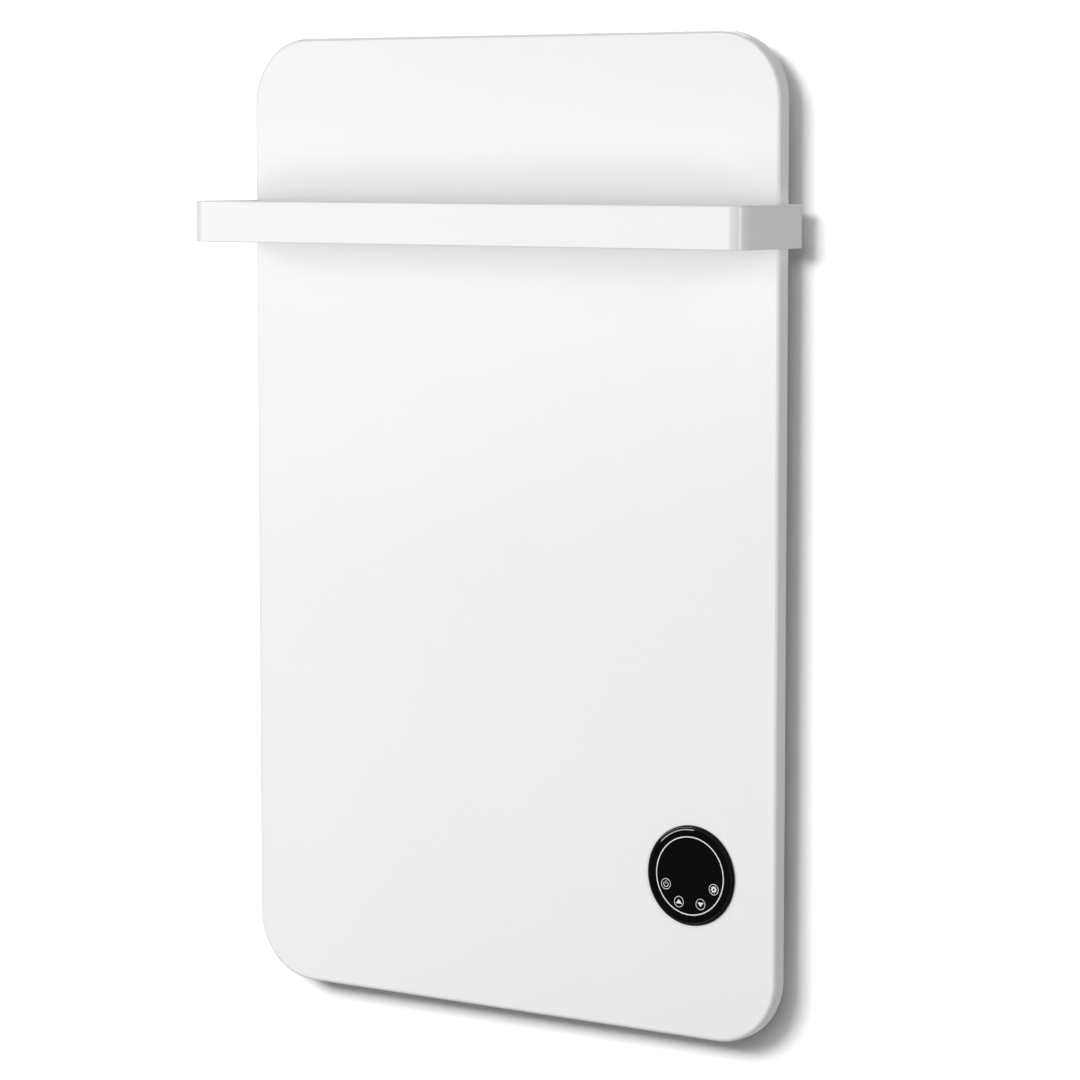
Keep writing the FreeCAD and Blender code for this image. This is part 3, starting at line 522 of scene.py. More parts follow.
class Graph:
    """The node tree of one material or of the world."""

    def __init__(self, owner: Union[bpy.types.Material, bpy.types.World]) -> None:
        """Start an empty tree.

        Args:
            owner: the material or the world that it is for.
        """
        owner.use_nodes = True
        self.tree = owner.node_tree
        self.tree.nodes.clear()

    def add(self, kind: str, settings: Table = None, sockets: Table = None) -> bpy.types.Node:
        """Add a node.

        Args:
            kind: the node's type.
            settings: what is set on the node itself, before its sockets.
            sockets: the values or signals of its input sockets, by name or place.

        Returns:
            The node.
        """
        node = self.tree.nodes.new(kind)
        for name, value in (settings or {}).items():
            setattr(node, name, value)
        for key, value in (sockets or {}).items():
            if isinstance(value, Signal):
                self.tree.links.new(value.socket, node.inputs[key])
            else:
                node.inputs[key].default_value = value
        return node

    def feed(self, kind: str, settings: Table = None, sockets: Table = None,
             output: Union[int, str] = 0) -> Signal:
        """Add a node and give one of its outputs, by name or place."""
        return Signal(self, self.add(kind, settings, sockets).outputs[output])

    def place(self) -> Signal:
        """Give the place on the object."""
        return self.feed("ShaderNodeTexCoord", output="Object")

    def blend(self, share: Signal, first: Colour, second: Colour) -> Signal:
        """Mix two colours by a share."""
        colours = {MIX_FACTOR: share, MIX_FIRST: (*first, 1.0), MIX_SECOND: (*second, 1.0)}
        return self.feed("ShaderNodeMix", {"data_type": "RGBA"}, colours, MIX_RESULT)

    def cloud(self, place: Signal, size: float) -> Signal:
        """Give soft noise of a feature size, read at a place."""
        return self.feed("ShaderNodeTexNoise", None, {"Vector": place, "Scale": 1.0 / size})

    def ray(self, fact: str) -> Signal:
        """Give a fact about the ray that meets the surface."""
        return self.feed("ShaderNodeLightPath", output=fact)

    def seen(self) -> Signal:
        """Tell the rays that show a background to the camera: straight, off gloss or through glass.

        Returns:
            1 for such a ray and 0 for any other.
        """
        straight = self.ray("Diffuse Depth") < 0.5
        mirrored = self.ray("Is Glossy Ray") | self.ray("Is Transmission Ray")
        return self.ray("Is Camera Ray") | mirrored * straight


class Grain(Enum):
    """The fine pattern of a finish: the node that lays it, its settings and sockets, its output."""

    CLOUD = ("ShaderNodeTexNoise", {}, {}, 0)
    CELLS = ("ShaderNodeTexVoronoi", {}, {}, "Color")
    CRINKLE = ("ShaderNodeTexVoronoi", {"feature": "DISTANCE_TO_EDGE"}, {}, "Distance")
    LINES = ("ShaderNodeTexWave", {}, {"Distortion": 3.0, "Detail": 2.0}, "Fac")
    TRACKS = ("ShaderNodeTexBrick", {"offset": 0.5}, {"Mortar Size": 0.06, "Mortar Smooth": 0.1}, "Fac")


@dataclass(frozen=True)
class Finish:
    """A procedural finish: two tones, a fine grain with relief, and broad mottling.

    The roughness goes from its first value to its second with the grain. The mottle share says how
    much of the change of tone is broad, and the rest follows the grain.
    """

    name: str
    tone: Colour
    shade: Colour
    roughness: tuple[float, float]
    grain_size: float
    grain: Grain = Grain.CLOUD
    relief: float = 0.0
    stretch: tuple[float, float, float] = UNSCALED
    mottle_size: float = 60.0 * MM
    mottle_share: float = 0.5
    metallic: float = 0.0
    specular: float = 0.5

    def pattern(self, graph: Graph, place: Signal) -> Signal:
        """Lay the fine grain.

        Args:
            graph: the finish's node tree.
            place: the stretched place on the surface.

        Returns:
            The grain, from 0 to 1.
        """
        kind, settings, sockets, output = self.grain.value
        grain = graph.feed(kind, settings, {"Vector": place, "Scale": 1.0 / self.grain_size, **sockets},
                           output)
        if self.grain is Grain.CELLS:
            return graph.feed("ShaderNodeSeparateColor", None, {0: grain})
        return grain

    def paint(self) -> bpy.types.Material:
        """Make the material.

        Returns:
            The material.
        """
        material = bpy.data.materials.new(self.name)
        graph = Graph(material)
        place = graph.place()
        grain = self.pattern(graph, graph.feed("ShaderNodeMapping", None, {
            "Vector": place, "Scale": self.stretch}))
        mottle = graph.cloud(place, self.mottle_size)
        share = mottle * self.mottle_share + grain * (1.0 - self.mottle_share)
        smoothest, roughest = self.roughness
        sockets = {
            "Base Color": graph.blend(share, self.tone, self.shade),
            "Roughness": smoothest + grain * (roughest - smoothest),
            "Metallic": self.metallic,
            "Specular IOR Level": self.specular,
        }
        if self.relief:
            sockets["Normal"] = graph.feed("ShaderNodeBump", None, {
                "Strength": 1.0, "Distance": self.relief, "Height": grain})
        surface = graph.feed("ShaderNodeBsdfPrincipled", None, sockets)
        graph.add("ShaderNodeOutputMaterial", None, {"Surface": surface})
        return material


def grey(value: float) -> Colour:
    """Give a colour without a hue."""
    return (value, value, value)


FINISHES: tuple[Finish, ...] = (
    # White enamel: its broad mottle is painted sheen, the soft uneven reflection of a slightly wavy sheet
    # laid into the colour
    Finish("white_enamel", grey(0.90), grey(0.87), (0.16, 0.24), 1.4 * MM, relief=0.012 * MM,
           mottle_size=180 * MM, mottle_share=0.85, specular=0.45),
    Finish("white_plastic", (0.88, 0.88, 0.87), (0.83, 0.83, 0.82), (0.35, 0.5), 0.5 * MM,
           relief=0.01 * MM),
    Finish("white_ink", grey(0.92), grey(0.86), (0.5, 0.6), 0.3 * MM),
    Finish("zinc_sheet", (0.63, 0.64, 0.65), (0.75, 0.76, 0.77), (0.26, 0.44), 9 * MM, Grain.CELLS,
           mottle_size=40 * MM, mottle_share=0.35, metallic=1.0),
    Finish("screw_steel", (0.60, 0.61, 0.63), (0.72, 0.73, 0.75), (0.22, 0.4), 0.6 * MM,
           relief=0.01 * MM, metallic=1.0),
    Finish("black_gloss", (0.004, 0.004, 0.0042), (0.006, 0.006, 0.0063), (0.08, 0.14), 12 * MM,
           specular=0.06),
    Finish("black_glass", (0.0006, 0.0006, 0.0007), (0.0012, 0.0012, 0.0013), (0.03, 0.1), 18 * MM,
           specular=0.04),
    Finish("black_plastic", (0.026, 0.026, 0.028), (0.040, 0.040, 0.042), (0.42, 0.6), 0.7 * MM,
           relief=0.05 * MM),
    Finish("rubber", grey(0.04), grey(0.06), (0.65, 0.85), 0.4 * MM, relief=0.03 * MM),
    Finish("foam", grey(0.26), grey(0.36), (0.9, 1.0), 0.8 * MM, Grain.CRINKLE, 0.3 * MM),
    Finish("mica", (0.66, 0.58, 0.44), (0.56, 0.48, 0.34), (0.3, 0.55), 5 * MM, Grain.CELLS),
    Finish("carbon_film", grey(0.022), grey(0.045), (0.4, 0.6), 1.5 * MM, Grain.LINES),
    Finish("copper", (0.80, 0.46, 0.30), (0.66, 0.35, 0.20), (0.2, 0.4), 0.8 * MM, Grain.LINES,
           metallic=1.0),
    Finish("foil", (0.86, 0.87, 0.88), (0.78, 0.79, 0.80), (0.12, 0.28), 14 * MM, Grain.CRINKLE,
           0.3 * MM, metallic=1.0),
    Finish("insulation", (0.86, 0.84, 0.78), (0.76, 0.73, 0.66), (0.85, 1.0), 1.2 * MM,
           relief=0.4 * MM, stretch=(0.2, 1.0, 1.0)),
    Finish("circuit_board", (0.02, 0.19, 0.085), (0.05, 0.30, 0.14), (0.25, 0.45), 5 * MM,
           Grain.TRACKS, 0.03 * MM, mottle_share=0.2),
    Finish("component_dark", (0.045, 0.045, 0.05), (0.06, 0.06, 0.065), (0.4, 0.6), 0.5 * MM,
           relief=0.02 * MM),
    Finish("component_yellow", (0.74, 0.57, 0.13), (0.66, 0.48, 0.08), (0.3, 0.5), 2.5 * MM,
           Grain.LINES, 0.04 * MM),
    Finish("terminal_green", (0.07, 0.34, 0.19), (0.10, 0.40, 0.24), (0.4, 0.55), 0.5 * MM,
           relief=0.02 * MM),
    Finish("brass_nut", (0.80, 0.62, 0.30), (0.72, 0.53, 0.22), (0.2, 0.38), 0.5 * MM, Grain.LINES,
           metallic=1.0),
    Finish("live_wire", (0.29, 0.135, 0.06), (0.24, 0.11, 0.05), (0.45, 0.6), 0.8 * MM),
    Finish("neutral_wire", (0.06, 0.16, 0.50), (0.05, 0.13, 0.43), (0.45, 0.6), 0.8 * MM),
    Finish("earth_wire", (0.24, 0.46, 0.06), (0.62, 0.58, 0.06), (0.45, 0.6), 4 * MM, Grain.LINES,
           mottle_share=0.0),
    Finish("signal_wire", grey(0.70), grey(0.58), (0.45, 0.6), 1.3 * MM, Grain.LINES),
)


class FinishRack:
    """The painted finishes, by name."""

    def __init__(self) -> None:
        """Paint every finish once."""
        self.materials = {finish.name: finish.paint() for finish in FINISHES}

    def coat(self, piece: bpy.types.Object, name: str) -> None:
        """Give a piece one of the finishes.

        Args:
            piece: the piece.
            name: the finish's name.
        """
        if not piece.material_slots:
            piece.data.materials.append(None)
        for slot in piece.material_slots:
            slot.link = "OBJECT"
            slot.material = self.materials[name]

    def coat_carried_nodes(self) -> None:
        """Give every CAD node the finish of its slot in the record."""
        for row in frame["record"]["subparts"]:
            self.coat(frame["nodes"][row["node"]], row["material_slot"])


# Pieces of the heater

@dataclass
class Made:
    """A finished mesh, its record slot, the CAD nodes that it stands for and any finish of its own."""

    blank: Blank
    slot: str
    nodes: tuple[str, ...] = ()
    finish: str = ""


class SubAssembly:
    """A group of pieces that ride on one body."""

    body = "heater"

    def build(self) -> list[Made]:
        """Model the pieces."""
        raise NotImplementedError

    def dress(self, made: list[Made], rack: FinishRack) -> None:
        """Give the pieces their finish and body, and hide the CAD nodes that they stand for.

        Args:
            made: the pieces that build() gave.
            rack: the painted finishes.
        """
        for item in made:
            piece = item.blank.piece
            rack.coat(piece, item.finish or item.slot)
            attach(piece, self.body)
            if item.nodes:
                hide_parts(*item.nodes)
            LOG.info("%s: %s, %d faces", type(self).__name__, piece.name, len(piece.data.polygons))


@dataclass
class HeatingPanel(SubAssembly):
    """The enamelled tray: large round corners, a rolled front edge and a folded flange behind."""

    corner: Round = Round(58.0 * MM, 32)
    edge: Round = Round(3.0 * MM, 8)
    fold: Round = Round(1.5 * MM, 3)
    flange: float = 12.0 * MM
    sheet: float = 1.0 * MM
    hole: Round = Round(36.8 * MM, 96)

    def build(self) -> list[Made]:
        """Model the tray from a block that fills the node's box.

        Returns:
            The tray.
        """
        low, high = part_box("front_panel")
        tray = Blank.block("panel_shell", low, high)
        tray.round_off(runs_deep, self.corner)
        with tray.editing(Element.FACE, facing(Y_AXIS)):
            inset(self.flange)
            bpy.ops.mesh.delete(type="FACE")
        tray.round_off(crease_at(low.y), self.edge)
        tray.round_off(crease_at(high.y), self.fold)
        tray.thicken(self.sheet, INWARDS)
        middle = middle_of("touch_glass")
        start = Vector((middle.x, low.y - self.edge.radius, middle.z))
        end = start + Y_AXIS * 2 * self.edge.radius
        tray.carve(Carve.CUT, Blank.rod("control_hole", start, end, self.hole)).smooth()
        return [Made(tray, "white_enamel", ("front_panel",))]


@dataclass
class TowelBar(SubAssembly):
    """The flat tube, bent round at both ends, and the plugs that close its legs."""

    depth: float = 12.0 * MM
    wall: float = 1.5 * MM
    edge: Round = Round(1.2 * MM, 5)
    outer_bend: Round = Round(14.0 * MM, 20)
    plug_gap: float = 0.1 * MM
    plug_edge: Round = Round(0.4 * MM, 3)

    def tube(self) -> Blank:
        """Sweep the tube's section along the right leg, the front run and the left leg.

        Returns:
            The tube.
        """
        low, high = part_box("towel_bar")
        middle_z = (low.z + high.z) / 2
        start = Vector((high.x - self.depth / 2, high.y, middle_z))
        bend = self.outer_bend.radius
        bend_y = low.y + bend
        leg = Vector((0.0, bend_y - high.y, 0.0))
        run = Vector((low.x - high.x + 2 * bend, 0.0, 0.0))
        bar = Blank.upright("bar_tube", start, self.depth, high.z - low.z)
        bar.round_off(every, self.edge, Element.VERT)
        with bar.editing(Element.EDGE):
            bpy.ops.mesh.delete(type="ONLY_FACE")
            bpy.ops.mesh.select_all(action="SELECT")
            extrude(leg)
            self.bend(Vector((high.x - bend, bend_y, middle_z)))
            extrude(run)
            self.bend(Vector((low.x + bend, bend_y, middle_z)))
            extrude(-leg)
        return bar.clean().thicken(self.wall, INWARDS).smooth()

    def bend(self, centre: Vector) -> None:
        """Turn the open end of the tube a quarter round about an upright axis."""
        bpy.ops.mesh.spin(steps=self.outer_bend.steps, angle=QUARTER, center=centre, axis=Z_AXIS)

    def plug(self, side: str) -> Made:
        """Model the end plug of a leg: a rounded cap with a core that fills the tube.

        Args:
            side: which leg it closes.

        Returns:
            The plug.
        """
        node = "bar_end_plug_" + side
        low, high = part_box(node)
        tube_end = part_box("towel_bar")[1].y
        plug = Blank.block("bar_cap_" + side, (low.x, tube_end, low.z), high)
        plug.round_off(runs_deep, self.edge)
        with plug.editing(Element.FACE, facing(-Y_AXIS)):
            inset(self.wall + self.plug_gap)
            extrude(Y_AXIS * (low.y - tube_end))
        plug.round_off(crease_at(high.y), self.plug_edge)
        return Made(plug.smooth(), "white_plastic", (node,))

    def build(self) -> list[Made]:
        """Model the tube and its two plugs."""
        tube = Made(self.tube(), "white_enamel", ("towel_bar",))
        return [tube, self.plug("left"), self.plug("right")]


@dataclass
class TouchControl(SubAssembly):
    """The round control: a gloss ring, a glass disc, and the ring and key signs printed on it.

    The angles of the keys count from straight down, in degrees. A triangle's height is given over the
    radius of the circle round it.
    """

    recess_radius: float = 40.15 * MM
    lip_rounding: float = 0.5 * MM
    rim_rounding: float = 2.0 * MM
    seal: float = 0.3 * MM
    spigot_radius: float = 36.4 * MM
    bore_radius: float = 34.0 * MM
    shoulder_radius: float = 30.3 * MM
    glass_bevel: tuple[float, float] = (0.8 * MM, 0.3 * MM)
    bevel_crease: float = 15.0
    steps: int = 144
    print_height: float = 0.05 * MM
    ring_radius: float = 33.4 * MM
    ring_line: float = 0.95 * MM
    key_radius: float = 25.6 * MM
    key_ring_radius: float = 4.5 * MM
    key_line: float = 0.5 * MM
    outer_key: float = 69.0
    inner_key: float = 25.0
    power_radius: float = 2.25 * MM
    power_line: float = 0.55 * MM
    power_drop: float = 0.2 * MM
    power_gap: float = 1.5 * MM
    power_stroke: tuple[float, float] = (0.3 * MM, 3.4 * MM)
    power_tip: Round = Round(0.2475 * MM, 3)
    arrow_width: float = 6.2 * MM
    arrow_height: float = 3.8 * MM
    arrow_drop: float = 0.3 * MM
    arrow_tip: Round = Round(0.15 * MM, 3)
    triangle_height: float = 1.5
    gear_radius: float = 2.3 * MM
    gear_hole: Round = Round(0.95 * MM, 32)
    gear_teeth: int = 8
    tooth: float = 0.8 * MM

    def __post_init__(self) -> None:
        """Find the control's middle and its faces on the frame."""
        low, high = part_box("touch_glass")
        self.middle = Vector(((low.x + high.x) / 2, 0.0, (low.z + high.z) / 2))
        self.face = low.y
        self.ink = self.face - self.print_height
        self.glass_back = high.y
        self.glass_radius = (high.x - low.x) / 2
        self.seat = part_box("display_board")[0].y

    def bezel(self) -> Blank:
        """Turn the gloss ring with its glass recess and its spigot.

        Returns:
            The ring.
        """
        low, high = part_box("control_bezel")
        rim_radius = (high.x - low.x) / 2
        rim_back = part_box("front_panel")[0].y
        ledge = self.glass_back + self.seal
        return Blank.lathe("bezel_ring", self.middle, Y_AXIS, (
            (self.recess_radius, ledge),
            (self.recess_radius, low.y, self.lip_rounding),
            (rim_radius, low.y, self.rim_rounding),
            (rim_radius, rim_back),
            (self.spigot_radius, rim_back),
            (self.spigot_radius, high.y),
            (self.bore_radius, high.y),
            (self.bore_radius, self.seat),
            (self.shoulder_radius, self.seat),
            (self.shoulder_radius, ledge),
        ), self.steps, closed=True).smooth()

    def glass(self) -> Blank:
        """Turn the glass disc with its ground bevel.

        Returns:
            The disc.
        """
        rim, depth = self.glass_bevel
        return Blank.lathe("glass_disc", self.middle, Y_AXIS, (
            (0.0, self.glass_back),
            (self.glass_radius, self.glass_back),
            (self.glass_radius, self.face + depth),
            (self.glass_radius - rim, self.face),
            (0.0, self.face),
        ), self.steps).smooth(self.bevel_crease)

    def printed_ring(self, name: str, centre: Vector, radius: float, line: float) -> Blank:
        """Turn a printed line that runs round a centre.

        Args:
            name: the name of the object.
            centre: the ring's middle, at no depth.
            radius: the radius of the line's middle.
            line: the line's width.

        Returns:
            The ring.
        """
        inner = radius - line / 2
        outer = radius + line / 2
        return Blank.lathe(name, centre, Y_AXIS, (
            (inner, self.face), (outer, self.face), (outer, self.ink), (inner, self.ink),
        ), self.steps, closed=True)

    def key_centre(self, degrees: float) -> Vector:
        """Give the middle of the key at an angle, to the right when it is above zero."""
        angle = math.radians(degrees)
        return self.middle + Vector((math.sin(angle), 0.0, -math.cos(angle))) * self.key_radius

    def power_sign(self, centre: Vector) -> Blank:
        """Model the broken ring with an upright stroke.

        Args:
            centre: the key's middle.

        Returns:
            The sign.
        """
        middle = centre - Z_AXIS * self.power_drop
        half = self.power_line / 2
        foot, head = self.power_stroke
        ring = self.printed_ring("power_ring", middle, self.power_radius, self.power_line)
        notch = Blank.block(
            "power_notch",
            (middle.x - self.power_gap, self.face - 2 * self.print_height, middle.z),
            (middle.x + self.power_gap, self.face + self.print_height, middle.z + head))
        stroke = Blank.block("power_stroke", (middle.x - half, self.ink, middle.z + foot),
                             (middle.x + half, self.face, middle.z + head))
        stroke.round_off(runs_deep, self.power_tip)
        return ring.carve(Carve.CUT, notch).joined(stroke)

    def arrow_sign(self, centre: Vector, upward: bool) -> Blank:
        """Model a filled triangle that points up or down.

        Args:
            centre: the key's middle.
            upward: whether it points up.

        Returns:
            The sign.
        """
        tip = 1.0 if upward else -1.0
        radius = self.arrow_height / self.triangle_height
        arrow = Blank.add(
            "arrow", bpy.ops.mesh.primitive_cylinder_add,
            (self.arrow_width / (radius * math.sqrt(3)), 1.0, 1.0),
            vertices=3, radius=radius, depth=self.print_height,
            location=(centre.x, self.face - self.print_height / 2, centre.z - tip * self.arrow_drop),
            rotation=(tip * QUARTER, 0.0, 0.0))
        return arrow.round_off(runs_deep, self.arrow_tip)

    def gear_sign(self, centre: Vector) -> Blank:
        """Model a gear wheel with a hole in its middle.

        Args:
            centre: the key's middle.

        Returns:
            The sign.
        """
        front = Vector((centre.x, self.ink, centre.z))
        back = Vector((centre.x, self.face, centre.z))
        sides = 2 * self.gear_teeth
        gear = Blank.rod("gear", front, back, Round(self.gear_radius, sides))

        def is_tooth(side: bmesh.types.BMFace) -> bool:
            """Pass every other side face.

            Args:
                side: the face.

            Returns:
                Whether a tooth grows from it.
            """
            place = side.calc_center_median() - back
            number = round(math.atan2(place.z, place.x) / (math.tau / sides) - 0.5)
            return not facing(Y_AXIS)(side) and not facing(-Y_AXIS)(side) and number % 2 == 0

        with gear.editing(Element.FACE, is_tooth):
            bpy.ops.mesh.extrude_faces_move(TRANSFORM_OT_shrink_fatten={"value": self.tooth})
        bore = Blank.rod("gear_bore", front - Y_AXIS * MM, back + Y_AXIS * MM, self.gear_hole)
        return gear.carve(Carve.CUT, bore)

    def build(self) -> list[Made]:
        """Model the ring, the glass, the printed ring and the four printed keys.

        Returns:
            The pieces.
        """
        made = [
            Made(self.bezel(), "black_gloss", ("control_bezel",)),
            Made(self.glass(), "black_glass", ("touch_glass",)),
        ]
        ring = self.printed_ring("printed_ring", self.middle, self.ring_radius, self.ring_line)
        made.append(Made(ring.smooth(), "white_plastic", finish="white_ink"))
        keys = (
            ("printed_power", -self.outer_key, self.power_sign),
            ("printed_warmer", -self.inner_key, lambda centre: self.arrow_sign(centre, True)),
            ("printed_cooler", self.inner_key, lambda centre: self.arrow_sign(centre, False)),
            ("printed_settings", self.outer_key, self.gear_sign),
        )
        for name, degrees, sign in keys:
            centre = self.key_centre(degrees)
            key = self.printed_ring(name, centre, self.key_ring_radius, self.key_line)
            made.append(Made(key.joined(sign(centre)).smooth(), "white_plastic", finish="white_ink"))
        return made


@dataclass
class RearCover(SubAssembly):
    """The zinc sheet behind the panel, stiffened by three pressed beads, and its screws."""

    corner: Round = Round(56.0 * MM, 28)
    sheet: float = 1.0 * MM
    bead_length: float = 380.0 * MM
    bead_width: float = 18.0 * MM
    bead_end: Round = Round(8.82 * MM, 12)
    bead_height: float = 2.0 * MM
    bead_edge: Round = Round(1.2 * MM, 4)
    burr: float = 0.25 * MM
    bead_places: tuple[float, ...] = (-90.0 * MM, 40.0 * MM, 170.0 * MM)
    opening: float = 100.0 * MM
    opening_corner: Round = Round(6.0 * MM, 8)
    screw_inset: float = 7.0 * MM
    screw_margin: float = 125.0 * MM
    screws_a_side: int = 4
    screws_an_end: int = 3
    screw_turn: float = 37.0

    def bead(self, floor: float, foot: float, middle_z: float) -> Blank:
        """Model a long rounded swelling with sloping sides.

        Args:
            floor: the depth that it starts from.
            foot: the depth from which its sides slope.
            middle_z: how high its middle is.

        Returns:
            The swelling.
        """
        swelling = Blank.slab("bead", (0.0, middle_z), (self.bead_length / 2, self.bead_width / 2),
                              (floor, foot))
        swelling.round_off(runs_deep, self.bead_end)
        with swelling.editing(Element.FACE, facing(Y_AXIS)):
            inset(self.bead_height, self.bead_height)
        return swelling.round_off(crease_at(foot + self.bead_height), self.bead_edge)

    def cover(self) -> Blank:
        """Model the sheet with its beads and the opening behind the control.

        Returns:
            The sheet.
        """
        low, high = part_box("rear_cover")
        back = low.y + self.sheet
        cover = Blank.block("cover_sheet", low, (high.x, back, high.z))
        cover.round_off(runs_deep, self.corner)
        middle = middle_of("control_box")
        half = self.opening / 2
        window = Blank.slab("window", (middle.x, middle.z), (half, half),
                            (low.y - self.sheet, back + self.sheet))
        window.round_off(runs_deep, self.opening_corner)
        cover.carve(Carve.CUT, window).soften(self.burr)
        for middle_z in self.bead_places:
            cover.carve(Carve.FUSE, self.bead(low.y + self.sheet / 2, back, middle_z))
            cover.carve(Carve.CUT, self.bead(low.y - self.sheet, low.y, middle_z))
        return cover.clean().smooth()

    def screw_places(self) -> list[Vector]:
        """Find the seats of the screw heads, on the back of the sheet.

        Returns:
            The seats.
        """
        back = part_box("rear_cover")[0].y + self.sheet
        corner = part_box("front_panel")[1]
        places = []
        for side in BOTH_SIDES:
            for z in evenly(corner.z - self.screw_margin, self.screws_a_side):
                places.append(Vector((side * (corner.x - self.screw_inset), back, z)))
            for x in evenly(corner.x - self.screw_margin, self.screws_an_end):
                places.append(Vector((x, back, side * (corner.z - self.screw_inset))))
        return places

    def build(self) -> list[Made]:
        """Model the cover and its set of screws.

        Returns:
            The pieces.
        """
        screw = PanScrew(head_radius=3.2 * MM, head_height=1.8 * MM).build("cover_screw_set")
        return [
            Made(self.cover(), "zinc_sheet", ("rear_cover",)),
            Made(screw.scattered(self.screw_places(), self.screw_turn), "screw_steel", ("cover_screws",)),
        ]


@dataclass
class PanScrew:
    """A pan-head screw with a cross recess, its head's seat at the origin and its head towards +Y.

    The tip's radius and the point's length are shares of the shank's radius. The crown's rounding and
    the depths of the cross are shares of the head's height, and the cross's arms of its radius.
    """

    head_radius: float
    head_height: float
    shank_radius: float = 1.5 * MM
    length: float = 7.0 * MM
    tip: float = 0.35
    point: float = 1.5
    crown: float = 0.55
    arm: float = 0.58
    half_arm: float = 0.12
    cross_depths: tuple[float, float] = (0.4, 1.5)
    steps: int = 32

    def build(self, name: str) -> Blank:
        """Turn the screw and sink the cross into its head.

        Args:
            name: the name of the object.

        Returns:
            The screw.
        """
        screw = Blank.lathe(name, ORIGIN, Y_AXIS, (
            (0.0, -self.length),
            (self.tip * self.shank_radius, -self.length),
            (self.shank_radius, -self.length + self.point * self.shank_radius),
            (self.shank_radius, 0.0),
            (self.head_radius, 0.0),
            (self.head_radius, self.head_height, self.crown * self.head_height),
            (0.0, self.head_height),
        ), self.steps)
        arm = self.arm * self.head_radius
        half = self.half_arm * self.head_radius
        floor, top = (share * self.head_height for share in self.cross_depths)
        for halves in ((arm, half), (half, arm)):
            screw.carve(Carve.CUT, Blank.slab("cross_bar", (0.0, 0.0), halves, (floor, top)))
        return screw.clean().smooth()


@dataclass
class BentStrap:
    """A strip of zinc sheet with two bends, drawn by the middle of its thickness."""

    sheet: float = 2.0 * MM
    bend: Round = Round(2.0 * MM, 6)
    tip: Round = Round(4.0 * MM, 5)
    burr: float = 0.25 * MM

    def build(self, name: str, corners: Sequence[tuple[float, float]], low_x: float,
              high_x: float) -> Blank:
        """Bend the strip.

        Args:
            name: the piece's name.
            corners: the four corners of its section, each given by depth and height.
            low_x: where the strip starts across.
            high_x: where it ends.

        Returns:
            The strip, before any holes and edge work.
        """
        points = [Vector((low_x, depth, height)) for depth, height in corners]
        strap = Blank.wire(name, points)
        for point in points[1:-1]:
            strap.round_off(at(point), self.bend, Element.VERT)
        width = X_AXIS * (high_x - low_x)
        with strap.editing(Element.EDGE):
            extrude(width)
        first, last = points[0], points[-1]
        strap.round_off(at(first, last, first + width, last + width), self.tip, Element.VERT)
        return strap.clean().thicken(self.sheet, BOTH_WAYS)

    def finish(self, strap: Blank) -> Blank:
        """Take the bite off the cut edges and shade the strip."""
        return strap.soften(self.burr).smooth()


@dataclass
class WallRails(SubAssembly):
    """The two rails on the wall, each with a flange, a web and an upright lip."""

    strap: BentStrap
    lip: float = 14.0 * MM
    hole: Round = Round(2.75 * MM, 40)
    hole_reach: float = 100.0 * MM
    hole_drop: float = 32.0 * MM
    body = "wall_mount"

    def rail(self, level: str) -> Made:
        """Bend a rail that fills its node's box and drill its two wall holes.

        Args:
            level: which rail it is.

        Returns:
            The rail.
        """
        node = level + "_wall_rail"
        low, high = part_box(node)
        half = self.strap.sheet / 2
        web_z = high.z - self.lip - half
        rail = self.strap.build("rail_" + level, (
            (high.y - half, low.z), (high.y - half, web_z), (low.y + half, web_z), (low.y + half, high.z),
        ), low.x, high.x)
        for side in BOTH_SIDES:
            start = Vector((side * self.hole_reach, low.y + self.strap.sheet, high.z - self.hole_drop))
            end = start + Y_AXIS * (high.y - low.y)
            rail.carve(Carve.CUT, Blank.rod("drill", start, end, self.hole))
        return Made(self.strap.finish(rail), "zinc_sheet", (node,))

    def build(self) -> list[Made]:
        """Bend both rails."""
        return [self.rail("upper"), self.rail("lower")]


